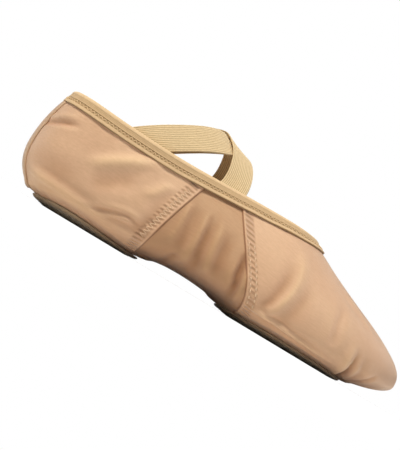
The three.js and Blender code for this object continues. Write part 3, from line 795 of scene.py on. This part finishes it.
def make_binding(material):
    frames = edge_frames()
    _, _, points, out, down, length = frames
    outer = PANEL_STEP + BINDING_GAP
    inner = -WALL - BINDING_GAP
    wave = sum(height * np.sin(length / run + phase) for height, run, phase in TAPE_WAVES)
    legs = np.linspace(BINDING_WIDTH, 0.0, LEG_POINTS)
    even = np.zeros(len(points))
    # each row of the loop: its places, a coordinate across the tape and its tone; the tone is 0, a painted
    # shadow, where the lower edge tucks in to the canvas, and lower inside the collar and where hidden, as
    # painted shade
    loop = [(tape_point(frames, BINDING_WIDTH, even + outer - TAPE_TUCK), BINDING_WIDTH + 0.6, 0.0)]
    for place in legs:
        height = outer + BINDING + tape_height(place) + wave * (place / BINDING_WIDTH)
        loop.append((tape_point(frames, place, height), place, float(tape_tone(place))))
    middle, spread = (outer + inner) / 2, (outer - inner) / 2 + BINDING
    for angle in np.linspace(0, math.pi, FOLD_POINTS + 2)[1:-1]:
        lift = BINDING_ROLL * math.sin(angle) ** 0.7
        loop.append((points - down * lift + out * (middle + spread * math.cos(angle)), -1.5 * lift, 1.0))
    for place in legs[::-6]:
        loop.append((tape_point(frames, place, even + inner - BINDING), -4 - place, INSIDE_SHADE_TONE))
    for place in legs[::14]:
        loop.append((tape_point(frames, place, even + inner), -14, HIDDEN_SHADE_TONE))
    for side in (inner, outer):
        loop.append((points - down * BINDING_GAP + out * side, -20, HIDDEN_SHADE_TONE))
    for place in legs[::-14][:-1]:
        loop.append((tape_point(frames, place, even + outer), -24, HIDDEN_SHADE_TONE))
    loops = np.stack([row[0] for row in loop], 1)
    sections, count = loops.shape[:2]
    quads = grid_quads(sections + 1, count, wrap=True) % (sections * count)
    across = np.array([row[1] for row in loop])
    cloth = np.stack(np.broadcast_arrays(length[:, None], across[None]), -1).reshape(-1, 2)
    tone = np.tile([row[2] for row in loop], sections)
    return make_piece("binding_tape", loops.reshape(-1, 3), quads.tolist(), [material],
                      ["collar_binding"], {"cloth": cloth}, {"tone": tone})


# Crossed elastics
STRAP_STEPS = 90
RIBS = 15
RIB_POINTS = 6
RIB_HEIGHT = 0.2
RIB_ROUNDING = 0.6
STRAP_THINNING = {"depth": 0.35, "share": (0.47, 0.5)}  # towards either edge of the elastic


def make_strap(name, node, lateral_x, medial_x, lift, material):
    inside = -(WALL + BINDING_GAP + BINDING + ELASTIC_GAP + ELASTIC / 2)

    def tucked(x, lateral):
        u = section_at(np.array([float(x)]))
        turn = side_turn(collar_half(u, u, lateral), lateral)
        under = turn - SLOPE_STEP if lateral else turn + SLOPE_STEP
        down = unit(last_point(u, under) - last_point(u, turn))
        return u[0], walk(u, turn, inside, down, np.array([ELASTIC_TUCK]))[1][0]

    (start_u, start_turn), (end_u, end_turn) = tucked(lateral_x, True), tucked(medial_x, False)
    bow = section_at(STRAP_CROSSING) - (start_u + end_u) / 2

    def place(t):
        u = start_u + (end_u - start_u) * (t + 1) / 2 + bow * (1 - t * t)
        turn = np.where(t < 0, 1 + (start_turn - 1) * -t, 1 + (end_turn - 1) * t)
        offset = lift + (inside - lift) * smoothstep(*STRAP_DIP, np.abs(t))
        return u, turn, offset

    t = np.linspace(-1, 1, STRAP_STEPS + 1)
    u, turn, offset = place(t)
    along = unit(last_point(*place(t + SLOPE_STEP)) - last_point(*place(t - SLOPE_STEP)))
    across = unit(np.cross(last_normal(u, turn, offset), along))
    width = np.linspace(-0.5, 0.5, RIBS * RIB_POINTS + 1)
    crest = np.abs(np.sin(math.pi * RIBS * (width + 0.5))) ** RIB_ROUNDING
    edge = STRAP_THINNING["depth"] * smoothstep(*STRAP_THINNING["share"], np.abs(width))
    faces_out, faces_in = [], []
    for share, rise, thin in zip(width, crest, edge):
        at_u, at_turn = walk(u, turn, offset, across, np.full(len(u), ELASTIC_WIDTH * share))
        lifted = ELASTIC / 2 - thin - RIB_HEIGHT * (1 - rise)
        faces_out.append(last_point(at_u, at_turn, offset + lifted))
        faces_in.append(last_point(at_u, at_turn, offset - lifted))
    loops = np.stack(faces_out + faces_in[::-1], 1)
    sections, count = loops.shape[:2]
    length = run_length(last_point(u, turn, offset))
    sides = np.concatenate([width, width[::-1]]) * ELASTIC_WIDTH
    cloth = np.stack(np.broadcast_arrays(length[:, None], sides[None]), -1).reshape(-1, 2)
    # the tone follows the ribs: painted shade darkens the valleys between them
    tone = np.tile(np.concatenate([crest, crest[::-1]]), sections)
    return make_piece(name, loops.reshape(-1, 3), swept_faces(sections, count), [material], [node],
                      {"cloth": cloth}, {"tone": tone})


# Suede pads and insoles: rings of an oval that follow the underside of the last
OVAL_SIDES = 120
OVAL_RINGS = 26
RING_EASE = 0.8  # rings draw closer together towards the edge
SIDE_TURNS = (0.15, 0.35, 0.65, 0.85)  # places down the rounded side
PLAIN_TONE = 0.7
PAD_STITCH = {"inset": 3.2, "pitch": 3.6, "share": 0.62, "clear": 0.32}
PAD_GROOVE = {"depth": 0.25, "width": 0.7}


def make_oval(name, node, oval, upper, lower, groove, material):
    angles = np.linspace(0, 2 * math.pi, OVAL_SIDES, endpoint=False)
    inner_share = 1 - PAD_BEVEL / oval["half_width"]
    shares = np.linspace(0, 1, OVAL_RINGS + 1)[1:] ** RING_EASE
    thickness = lower - upper
    rings = []

    def ring(share, offset, sink):
        x, y = oval_plan(oval, angles, share)
        z = underside(x, y, np.full(OVAL_SIDES, offset)) + sink
        return np.stack([x, y, z], -1)

    for share in shares:
        rings.append(ring(share * inner_share, upper, 0.0))
    for turn in SIDE_TURNS:
        bulge = inner_share + (1 - inner_share) * math.sin(math.pi * turn)
        rings.append(ring(bulge, upper + thickness * turn, 0.0))
    for share in shares[::-1]:
        inset = (1 - share * inner_share) * oval["half_width"]
        sink = groove * float(bump(inset - PAD_STITCH["inset"], PAD_GROOVE["width"]))
        rings.append(ring(share * inner_share, lower, sink))
    rings = np.array(rings)
    centre = np.array([[oval["x"], oval["y"]]] * 2)
    middle_z = underside(centre[:, 0], centre[:, 1], np.array([upper, lower]))
    count = len(rings)
    points = np.vstack([rings.reshape(-1, 3), np.column_stack([centre, middle_z])])
    faces = grid_quads(count, OVAL_SIDES, wrap=True).tolist()
    top, bottom, last = count * OVAL_SIDES, count * OVAL_SIDES + 1, (count - 1) * OVAL_SIDES
    for k in range(OVAL_SIDES):
        after = (k + 1) % OVAL_SIDES
        faces.append([top, k, after])
        faces.append([bottom, last + after, last + k])
    ring_shares = np.concatenate([shares, np.ones(len(SIDE_TURNS)), shares[::-1]])
    rim = np.concatenate([np.repeat(ring_shares, OVAL_SIDES), [0, 0]])
    tone = np.full(len(points), PLAIN_TONE)
    return make_piece(name, points, faces, [material], [node], {"cloth": points[:, :2]},
                      {"rim": rim, "tone": tone})


# Back strip
STRIP_COLUMNS = 24
STRIP_ROWS = 60
STRIP_RIDGE = {"height": 0.25, "place": 5.4, "width": 0.7}
STRIP_GROOVE = {"depth": 0.16, "place": 3.8, "width": 0.5}
STRIP_PUCKER = {"height": 0.2, "place": 4.6, "width": 1.6, "pitch": 5.2}
STRIP_EDGE = {"width": 0.1, "thickness": 0.25}
STRIP_LEAST = 0.15
STRIP_SINK = 0.1
STRIP_REACH = (0.0, 0.2)  # the strip's edge lies between these sections
FAR_FROM_SEAMS = -30.0


def make_back_strip(material):
    zero = np.zeros(1)
    high = collar_half(zero, zero, True)
    down = unit(last_point(zero, high - SLOPE_STEP) - last_point(zero, high))
    top = float(walk(zero, high, 0.0, down, np.array([BINDING_WIDTH + 2 * GAP]))[1][0])

    def past_edge(u):
        return np.abs(OUTLINE(u / 2)[..., 1]) - STRIP_HALF_WIDTH

    reach = float(solve(*map(np.array, STRIP_REACH), past_edge))
    side = np.linspace(-1, 1, STRIP_COLUMNS + 1)
    half = np.linspace(STRIP_FOOT, top, STRIP_ROWS + 1)
    u = np.abs(side)[:, None] * reach + 0 * half
    turn = np.where(side[:, None] >= 0, half, 2 - half)
    flat = PANEL_STEP + GAP
    across = np.abs(side)[:, None] * STRIP_HALF_WIDTH
    rows = half[None] / TURN_PER_MM

    def beside(part):
        return bump(across - part["place"], part["width"])

    wave = np.sin(2 * math.pi * rows / STRIP_PUCKER["pitch"] + side[:, None])
    thick = STRIP + STRIP_RIDGE["height"] * beside(STRIP_RIDGE) - STRIP_GROOVE["depth"] * beside(STRIP_GROOVE)
    thick = thick + STRIP_PUCKER["height"] * wave * beside(STRIP_PUCKER)
    thick = np.where(across > STRIP_HALF_WIDTH - STRIP_EDGE["width"], STRIP_EDGE["thickness"], thick)
    soft = np.array([canvas(u[i], turn[i])[3] for i in range(len(side))])
    outer = last_point(u, turn, flat + np.maximum(thick + soft, STRIP_LEAST))
    inner = last_point(u, turn, flat + np.minimum(soft, 0) - STRIP_SINK)
    loops = np.concatenate([outer, inner[:, ::-1]], 1)
    cloth = np.stack(np.broadcast_arrays(side[:, None] * STRIP_HALF_WIDTH, rows), -1)
    cloth = np.concatenate([cloth, cloth[:, ::-1]], 1).reshape(-1, 2)
    zeros = np.zeros(len(cloth))
    maps = {"cloth": cloth, "stitch": np.full_like(cloth, FAR_FROM_SEAMS)}
    return make_piece("heel_seam_strip", loops.reshape(-1, 3), swept_faces(*loops.shape[:2]), [material],
                      ["back_strip"], maps, {"fold": zeros, "gore": zeros})


# Threads: short tubes that come up out of the cloth and go down again
THREAD_SIDES = 6
# Share of a stitch's length, and its thickness there
THREAD_PROFILE = ((0.0, 0.3), (0.12, 0.8), (0.35, 1.0), (0.65, 1.0), (0.88, 0.8), (1.0, 0.3))
THREAD_SHARES, THREAD_THICKNESS = np.array(THREAD_PROFILE).T
ARCH_ROUNDING = 0.6


def make_threads(name, stitches, radius, material):
    """stitches is a list of (points along a stitch, surface normals there)."""
    thick = THREAD_THICKNESS[:, None, None] * radius
    angles = np.linspace(0, 2 * math.pi, THREAD_SIDES, endpoint=False)[None, :, None]
    count = len(THREAD_SHARES)
    points, faces, total = [], [], 0
    for path, normals in stitches:
        way = unit(path[-1] - path[0])
        up = unit(normals.mean(0))
        side = unit(np.cross(way, up))
        rings = path[:, None] + thick * (np.cos(angles) * side + np.sin(angles) * up)
        points.append(rings.reshape(-1, 3))
        faces += grid_quads(count, THREAD_SIDES, total, wrap=True).tolist()
        faces.append(list(range(total, total + THREAD_SIDES)))
        end = total + (count - 1) * THREAD_SIDES
        faces.append(list(range(end + THREAD_SIDES - 1, end - 1, -1)))
        total += count * THREAD_SIDES
    return make_piece(name, np.vstack(points), faces, [material])


def arch(lift, sink):
    """Height of a stitch over the cloth along its length."""
    return sink + (lift - sink) * np.sin(math.pi * THREAD_SHARES) ** ARCH_ROUNDING


def canvas_stitches(ends, lift, sink):
    """Stitches on the canvas between pairs of (u, turn) places."""
    ends = np.asarray(ends, float)
    way = ends[:, 0, None] + (ends[:, 1] - ends[:, 0])[:, None] * THREAD_SHARES[None, :, None]
    places, normals = skin(way[..., 0], way[..., 1], np.broadcast_to(arch(lift, sink), way.shape[:2]))
    return list(zip(places, normals))


SEWN_SPAN = (0.345, 0.625)
RUNNING_SHARE = 0.6  # a straight stitch shows for this share of its pitch


def seam_stitch_ends(seam, lengths, rows, pitch, zigzag):
    """Zigzag between two rows, or two straight rows, beside a gore seam on both sides of the shoe."""
    first, last = np.interp(SEWN_SPAN, SEAM_HALVES, lengths)
    step = pitch / 2 if zigzag else pitch
    ends = []
    for k in range(int((last - first) / step)):
        reach = step if zigzag else step * RUNNING_SHARE
        marks = first + k * step + np.array([0.0, reach])
        halves = np.interp(marks, lengths, SEAM_HALVES)
        seams = seam_line(seam, halves)
        pairs = [(rows[k % 2], rows[(k + 1) % 2])] if zigzag else [(row, row) for row in rows]
        for pair in pairs:
            u = seams + np.array(pair) * U_PER_MM
            for lateral in (True, False):
                ends.append(np.stack([u, side_turn(halves, lateral)], -1))
    return ends


TAPE_STITCH = 1.1
# Lift and sink of a stitch
TAPE_ARCH = (0.08, -0.4)
PAD_ARCH = (0.1, -0.2)
REAR_ARCH = (0.1, -0.3)
FRONT_ARCH = (0.22, -0.25)
THREAD_RADIUS = {"rear": 0.2, "front": 0.32, "tape": 0.2, "pad": 0.26}


def binding_stitches():
    """Zigzag along the folded tape."""
    u, turn, _, _, down, length = edge_frames()
    height = PANEL_STEP + BINDING_GAP + BINDING + arch(*TAPE_ARCH)
    count = int(length[-1] / TAPE_STITCH)
    marks = np.linspace(0, length[-1], count + 1)
    stitches = []
    for k in range(count):
        along = marks[k] + (marks[k + 1] - marks[k]) * THREAD_SHARES
        low, high = TAPE_SEWN if k % 2 else TAPE_SEWN[::-1]
        drop = low + (high - low) * THREAD_SHARES
        at_u, at_turn = (np.interp(along, length, column) for column in (u, turn))
        way = np.stack([np.interp(along, length, down[:, i]) for i in range(3)], -1)
        leg_u, leg_turn = walk(at_u, at_turn, 0.0, way, drop)
        normal = last_normal(leg_u, leg_turn)
        stitches.append((last_point(leg_u, leg_turn) + normal * height[:, None], normal))
    return stitches


def pad_stitches(oval, lower):
    """Running stitch round a pad, a little inside its edge, on the underside."""
    line = pad_outline(oval, np.full(241, lower), 241, PAD_STITCH["inset"])
    length = run_length(line)
    count = int(length[-1] / PAD_STITCH["pitch"])
    stitches = []
    for k in range(count):
        along = length[-1] * (k + PAD_STITCH["share"] * THREAD_SHARES) / count
        path = np.stack([np.interp(along, length, line[:, i]) for i in range(3)], -1)
        path[:, 2] += PAD_STITCH["clear"] - arch(*PAD_ARCH)
        stitches.append((path, np.tile(DOWN, (len(THREAD_SHARES), 1))))
    return stitches


# Materials
class Nodes:
    """A material's node tree, with its shader, and one call to add a linked node."""

    def __init__(self, name):
        self.material = bpy.data.materials.new(name)
        self.material.use_nodes = True
        self.tree = self.material.node_tree
        self.shader = self.tree.nodes["Principled BSDF"]

    def add(self, kind, inputs=None, **settings):
        node = self.tree.nodes.new("ShaderNode" + kind)
        for key, value in settings.items():
            setattr(node, key, value)
        for key, value in (inputs or {}).items():
            self.feed(node.inputs[key], value)
        return node

    def feed(self, socket, value):
        if isinstance(value, bpy.types.NodeSocket):
            self.tree.links.new(value, socket)
        else:
            socket.default_value = value

    def set(self, **inputs):
        for key, value in inputs.items():
            self.feed(self.shader.inputs[key.replace("_", " ")], value)

    def cloth(self, scale):
        place = self.add("UVMap", uv_map="cloth")
        return self.add("Mapping", {"Vector": place.outputs[0], "Scale": scale}).outputs[0]

    def noise(self, vector, scale, detail=3.0, rough=0.6):
        inputs = {"Vector": vector, "Scale": scale, "Detail": detail, "Roughness": rough}
        return self.add("TexNoise", inputs).outputs[0]

    def ramp(self, value, *stops):
        node = self.add("ValToRGB", {"Fac": value})
        elements = node.color_ramp.elements
        while len(elements) < len(stops):
            elements.new(1.0)
        for element, (position, colour) in zip(elements, stops):
            element.position = position
            element.color = (*colour, 1.0)
        return node.outputs[0]

    def mix(self, factor, first, second, blend="MIX"):
        node = self.add("Mix", data_type="RGBA", blend_type=blend)
        for socket, value in zip((node.inputs[0], node.inputs[6], node.inputs[7]), (factor, first, second)):
            self.feed(socket, value if not isinstance(value, tuple) else (*value, 1.0))
        return node.outputs[2]

    def tint(self, factor, tone, colour):
        return self.mix(factor, tone, colour, "MULTIPLY")

    def share(self, value, factor):
        scaled = self.math("MULTIPLY", value, factor)
        return self.add("Clamp", {"Value": scaled}).outputs[0]

    def math(self, operation, first, second=0.0):
        return self.add("Math", {0: first, 1: second}, operation=operation).outputs[0]

    def bump(self, height, strength, distance, normal=None):
        inputs = {"Height": height, "Strength": strength, "Distance": distance}
        if normal is not None:
            inputs["Normal"] = normal
        return self.add("Bump", inputs).outputs[0]

    def attribute(self, name):
        return self.add("Attribute", attribute_name=name).outputs["Fac"]


BLACK, WHITE = (0.0,) * 3, (1.0,) * 3
SEAM_BAND_STOPS = ((0.08, BLACK), (0.17, WHITE), (0.58, WHITE), (0.70, BLACK))
SEAM_BAND_SCALE = 10.0  # the stops count in this many millimetres from the seam
STEP_SHADOW = {"place": 0.35, "stops": ((0.25, WHITE), (0.75, BLACK))}
# Painted shade: the troughs of the folds darken and brown by their depth
TROUGH_SHADE_SHARE, TROUGH_SHADE_TINT = -0.28, (0.62, 0.42, 0.30)
# Painted highlight: the crests of the folds lighten and yellow by their height
CREST_HIGHLIGHT_SHARE, CREST_HIGHLIGHT_TINT = 0.48, (1.14, 1.23, 1.16)
# Painted shade: the whole gore is darker and browner, as the arch faces down
GORE_SHADE_TINT = (0.71, 0.62, 0.53)
# Painted shadow in the step down from each panel to the gore
STEP_SHADOW_TINT = (0.66, 0.52, 0.44)
# Darker band over the stitch rows: partly painted shade beside the seam, partly the stitched cloth's deeper
# tone
BAND_TONE_AND_SHADE_TINT = (0.92, 0.88, 0.86)


def thread_wave(nodes, axis, pitch, **inputs):
    scale = [0.0, 0.0, 0.0]
    scale["XY".index(axis)] = 1 / pitch
    inputs.update(Vector=nodes.cloth(scale), Scale=1.0)
    return nodes.add("TexWave", inputs, bands_direction=axis).outputs[1]


def weave(nodes, pitch):
    """Height of a plain weave: two sets of threads that cross."""
    return nodes.math("MULTIPLY", thread_wave(nodes, "X", pitch), thread_wave(nodes, "Y", pitch))


def seam_bump(nodes):
    """Ladder of puckers between the stitch rows, shadow in the step of each gore seam, and the rows' band."""
    place = nodes.add("SeparateXYZ", {0: nodes.add("UVMap", uv_map="stitch").outputs[0]})
    beside, count = place.outputs[0], place.outputs[1]
    band = nodes.ramp(nodes.math("DIVIDE", beside, SEAM_BAND_SCALE), *SEAM_BAND_STOPS)
    ladder = nodes.math("SINE", nodes.math("MULTIPLY", count, 2 * math.pi))
    inside = nodes.math("ABSOLUTE", nodes.math("ADD", beside, STEP_SHADOW["place"]))
    return nodes.math("MULTIPLY", band, ladder), nodes.ramp(inside, *STEP_SHADOW["stops"]), band


def canvas_material(name, light, dark, shade, seams):
    nodes = Nodes(name)
    slub = nodes.noise(nodes.cloth((0.22, 1.1, 1.0)), 1.0, 5.0, 0.7)
    mottle = nodes.noise(nodes.cloth((0.045, 0.06, 1.0)), 1.0, 3.0, 0.55)
    fleck = nodes.noise(nodes.cloth((1.6, 1.6, 1.0)), 1.0, 2.0, 0.7)
    tone = nodes.ramp(slub, (0.3, dark), (0.7, light))
    tone = nodes.tint(nodes.math("MULTIPLY", fleck, 0.35), tone, shade)
    tone = nodes.tint(1.0, tone, nodes.ramp(mottle, (0.3, (0.95, 0.92, 0.90)), (0.7, WHITE)))
    fold = nodes.attribute("fold")
    # painted shade in the troughs of the folds
    tone = nodes.tint(nodes.share(fold, TROUGH_SHADE_SHARE), tone, TROUGH_SHADE_TINT)
    # painted highlight on the crests of the folds
    tone = nodes.tint(nodes.share(fold, CREST_HIGHLIGHT_SHARE), tone, CREST_HIGHLIGHT_TINT)
    gore = nodes.attribute("gore")
    # painted shade over the gore, where the arch faces down
    tone = nodes.tint(gore, tone, GORE_SHADE_TINT)
    gloss = nodes.math("SUBTRACT", 0.44, nodes.math("MULTIPLY", gore, 0.06))
    normal = nodes.bump(weave(nodes, 0.7), 0.35, 0.0003)
    normal = nodes.bump(slub, 0.3, 0.0005, normal)
    if seams:
        # the step ramp marks a painted shadow in each seam's step
        ladder, step, band = seam_bump(nodes)
        normal = nodes.bump(ladder, 0.8, 0.0004, normal)
        # the band of stitch rows darker, partly painted shade and partly the stitched cloth's tone, and the
        # painted shadow in the step
        tone = nodes.tint(band, nodes.tint(step, tone, STEP_SHADOW_TINT), BAND_TONE_AND_SHADE_TINT)
    nodes.set(Base_Color=tone, Roughness=gloss, Normal=normal, Sheen_Weight=0.3, Sheen_Roughness=0.5)
    nodes.set(Specular_IOR_Level=1.0, Specular_Tint=(1.0, 0.86, 0.58, 1.0))
    return nodes.material


def tape_material(name, light, dark, pitch):
    nodes = Nodes(name)
    threads = nodes.noise(nodes.cloth((0.5, 2.6, 1.0)), 1.0, 3.0, 0.6)
    cross = thread_wave(nodes, "X", pitch, Distortion=0.4)
    tone = nodes.ramp(nodes.attribute("tone"), (0.0, dark), (1.0, light))
    tone = nodes.tint(1.0, tone, nodes.ramp(threads, (0.3, (0.86, 0.82, 0.78)), (0.7, WHITE)))
    height = nodes.math("ADD", nodes.math("MULTIPLY", cross, 0.6), nodes.math("MULTIPLY", threads, 0.5))
    nodes.set(Base_Color=tone, Roughness=0.8, Normal=nodes.bump(height, 0.3, 0.0003))
    nodes.set(Sheen_Weight=0.2, Sheen_Roughness=0.45, Specular_IOR_Level=0.3)
    return nodes.material


def suede_material():
    nodes = Nodes("brushed_suede")
    nap = nodes.noise(nodes.cloth((0.9, 0.9, 1.0)), 1.0, 6.0, 0.75)
    patches = nodes.noise(nodes.cloth((0.06, 0.09, 1.0)), 1.0, 3.0, 0.6)
    tone = nodes.ramp(nap, (0.3, (0.42, 0.33, 0.23)), (0.7, (0.62, 0.50, 0.36)))
    tone = nodes.tint(nodes.math("MULTIPLY", patches, 0.5), tone, (0.72, 0.68, 0.66))
    edge = nodes.ramp(nodes.attribute("rim"), (0.955, WHITE), (1.0, (0.88, 0.82, 0.76)))
    tone = nodes.tint(1.0, tone, edge)
    nodes.set(Base_Color=tone, Roughness=0.95, Normal=nodes.bump(nap, 0.5, 0.0005))
    nodes.set(Sheen_Weight=0.35, Sheen_Roughness=0.6, Specular_IOR_Level=0.2)
    return nodes.material


def thread_material(name, colour):
    nodes = Nodes(name)
    place = nodes.add("TexCoord").outputs["Object"]
    twist = nodes.noise(place, 2500.0, 2.0, 0.5)
    tone = nodes.ramp(twist, (0.3, tuple(0.8 * c for c in colour)), (0.7, colour))
    nodes.set(Base_Color=tone, Roughness=0.6, Normal=nodes.bump(twist, 0.3, 0.0002))
    return nodes.material


# Stage: floor, light and camera
CAMERA_AZIMUTH = math.radians(-10)
CAMERA_ROLL = math.radians(31)
CAMERA_HEIGHT = 0.3
CAMERA_DISTANCE = 560.0
CAMERA_TARGET = (-20.5, 0.0, 34.0)
CAMERA_LENS = 84.8
CAMERA_SENSOR = 36.0


def make_camera():
    data = bpy.data.cameras.new("camera")
    data.lens = CAMERA_LENS
    data.sensor_width = CAMERA_SENSOR
    data.clip_start = 0.01
    camera = bpy.data.objects.new("camera", data)
    target = Vector(CAMERA_TARGET) * MM
    back = Vector((math.sin(CAMERA_AZIMUTH), -math.cos(CAMERA_AZIMUTH), 0.0)) * CAMERA_DISTANCE * MM
    camera.location = (target.x + back.x, target.y + back.y, CAMERA_HEIGHT * MM)
    look = (target - camera.location).to_track_quat("-Z", "Y")
    camera.rotation_mode = "QUATERNION"
    camera.rotation_quaternion = look @ Quaternion((0, 0, 1), CAMERA_ROLL)
    bpy.context.scene.collection.objects.link(camera)
    bpy.context.scene.camera = camera


# Lights: name, place in metres, size in metres, power in watts, colour
LIGHTS = (
    ("key", (-0.95, -0.66, 2.1), 0.36, 52.5, (1.0, 0.985, 0.89)),
    ("toe_fill", (0.85, -0.4, 0.7), 0.9, 4.8, (0.95, 0.97, 1.0)),
    ("far_fill", (-0.1, 0.9, 0.8), 0.9, 4.5, (1.0, 0.99, 0.97)),
)
WORLD_LIGHT = 0.1
BACKDROP_LIGHT = 1.0
LIGHTS_AIM = (0.0, 0.0, 0.03)
FLOOR_SIZE = 12.0
FLOOR_FADE = (0.055, 0.12)  # the floor pales into the backdrop between these distances, in metres
FLOOR_REACH = (0.45, 1.0, 1.0)  # which count for less along the shoe


def make_lights():
    for name, place, size, power, colour in LIGHTS:
        data = bpy.data.lights.new(name, "AREA")
        data.size = size
        data.energy = power
        data.color = colour
        light = bpy.data.objects.new(name, data)
        light.location = place
        light.rotation_euler = (Vector(LIGHTS_AIM) - Vector(place)).to_track_quat("-Z", "Y").to_euler()
        bpy.context.scene.collection.objects.link(light)
    world = bpy.data.worlds.new("studio")
    bpy.context.scene.world = world
    world.use_nodes = True
    tree = world.node_tree
    tree.nodes.clear()
    mix = tree.nodes.new("ShaderNodeMixShader")
    seen = tree.nodes.new("ShaderNodeLightPath").outputs["Is Camera Ray"]
    tree.links.new(seen, mix.inputs[0])
    for socket, strength in zip(mix.inputs[1:], (WORLD_LIGHT, BACKDROP_LIGHT)):
        light = tree.nodes.new("ShaderNodeBackground")
        light.inputs["Color"].default_value = (1.0, 1.0, 1.0, 1.0)
        light.inputs["Strength"].default_value = strength
        tree.links.new(light.outputs[0], socket)
    tree.links.new(mix.outputs[0], tree.nodes.new("ShaderNodeOutputWorld").inputs[0])


def make_floor():
    bpy.ops.mesh.primitive_plane_add(size=FLOOR_SIZE)
    floor = bpy.context.object
    floor.name = "floor"
    nodes = Nodes("pale_floor")
    place = nodes.add("TexCoord").outputs["Object"]
    tone = nodes.ramp(nodes.noise(place, 3.0), (0.3, (0.79, 0.79, 0.78)), (0.7, (0.82, 0.82, 0.81)))
    reach = nodes.add("VectorMath", {0: place, 1: FLOOR_REACH}, operation="MULTIPLY").outputs["Vector"]
    away = nodes.add("VectorMath", {0: reach}, operation="LENGTH").outputs["Value"]
    far = nodes.ramp(away, (FLOOR_FADE[0], BLACK), (FLOOR_FADE[1], WHITE))
    seen = nodes.add("LightPath").outputs["Is Camera Ray"]
    pale = nodes.mix(seen, BLACK, far)
    nodes.set(Base_Color=nodes.mix(pale, tone, BLACK), Roughness=0.9, Specular_IOR_Level=0.1)
    nodes.set(Emission_Color=pale, Emission_Strength=BACKDROP_LIGHT)
    floor.data.materials.append(nodes.material)


PADS = (("suede_heel", "heel_pad", HEEL_PAD), ("suede_forefoot", "forefoot_pad", FORE_PAD))
INSOLES = (("insole_heel", "heel_insole", HEEL_INSOLE), ("insole_forefoot", "forefoot_insole", FORE_INSOLE))


def main():
    skin_light, skin_dark = (0.80, 0.503, 0.332), (0.70, 0.42, 0.267)
    shade = (0.86, 0.78, 0.70)
    canvas_look = canvas_material("stretch_canvas", skin_light, skin_dark, shade, True)
    lining_look = canvas_material("cotton_lining", (0.74, 0.54, 0.37), (0.64, 0.45, 0.29), shade, False)
    # The back strip is the canvas's cloth made darker: painted shade on the back of the heel
    shaded_strip_look = canvas_material("shaded_seam_strip_canvas", (0.68, 0.44, 0.29), (0.57, 0.36, 0.23), shade, False)
    binding_look = tape_material("folded_elastic", (0.84, 0.60, 0.355), (0.40, 0.24, 0.115), 0.9)
    elastic_look = tape_material("ribbed_elastic", (0.90, 0.70, 0.43), (0.46, 0.30, 0.14), 0.8)
    insole_look = tape_material("insole_cotton", (0.80, 0.68, 0.52), (0.68, 0.55, 0.40), 0.8)
    suede_look = suede_material()

    make_upper(canvas_look, lining_look)
    make_binding(binding_look)
    for layer, lateral_x, medial_x in (("under", STRAP_REAR, STRAP_FRONT), ("over", STRAP_FRONT, STRAP_REAR)):
        names = "ribbed_elastic_" + layer, "elastic_" + layer
        make_strap(*names, lateral_x, medial_x, STRAP_LIFT[layer], elastic_look)
    pad_top = PANEL_STEP + GAP
    pad_bottom = pad_top + SUEDE
    for name, node, oval in PADS:
        make_oval(name, node, oval, pad_top, pad_bottom, PAD_GROOVE["depth"], suede_look)
    insole_bottom = -WALL - INSOLE_GAP
    insole_top = insole_bottom - INSOLE
    for name, node, oval in INSOLES:
        insole = make_oval(name, node, oval, insole_top, insole_bottom, 0.0, insole_look)
    make_back_strip(shaded_strip_look)

    canvas_thread = thread_material("canvas_thread", (0.92, 0.66, 0.44))
    tape_thread = thread_material("tape_thread", (0.86, 0.62, 0.36))
    dark_thread = thread_material("suede_thread", (0.10, 0.065, 0.04))
    behind = [-row for row in REAR_ROWS]
    rear = seam_stitch_ends(REAR_SEAM, REAR_LENGTHS, behind, REAR_PITCH, True)
    front = seam_stitch_ends(FRONT_SEAM, FRONT_LENGTHS, FRONT_ROWS, FRONT_PITCH, False)
    rear = canvas_stitches(rear, *REAR_ARCH)
    front = canvas_stitches(front, *FRONT_ARCH)
    pads = pad_stitches(HEEL_PAD, pad_bottom) + pad_stitches(FORE_PAD, pad_bottom)
    make_threads("rear_seam_stitches", rear, THREAD_RADIUS["rear"], canvas_thread)
    make_threads("front_seam_stitches", front, THREAD_RADIUS["front"], canvas_thread)
    make_threads("binding_stitches", binding_stitches(), THREAD_RADIUS["tape"], tape_thread)
    make_threads("pad_stitches", pads, THREAD_RADIUS["pad"], dark_thread)

    make_camera()
    make_lights()
    make_floor()
    bpy.context.scene.view_settings.view_transform = "Standard"


main()
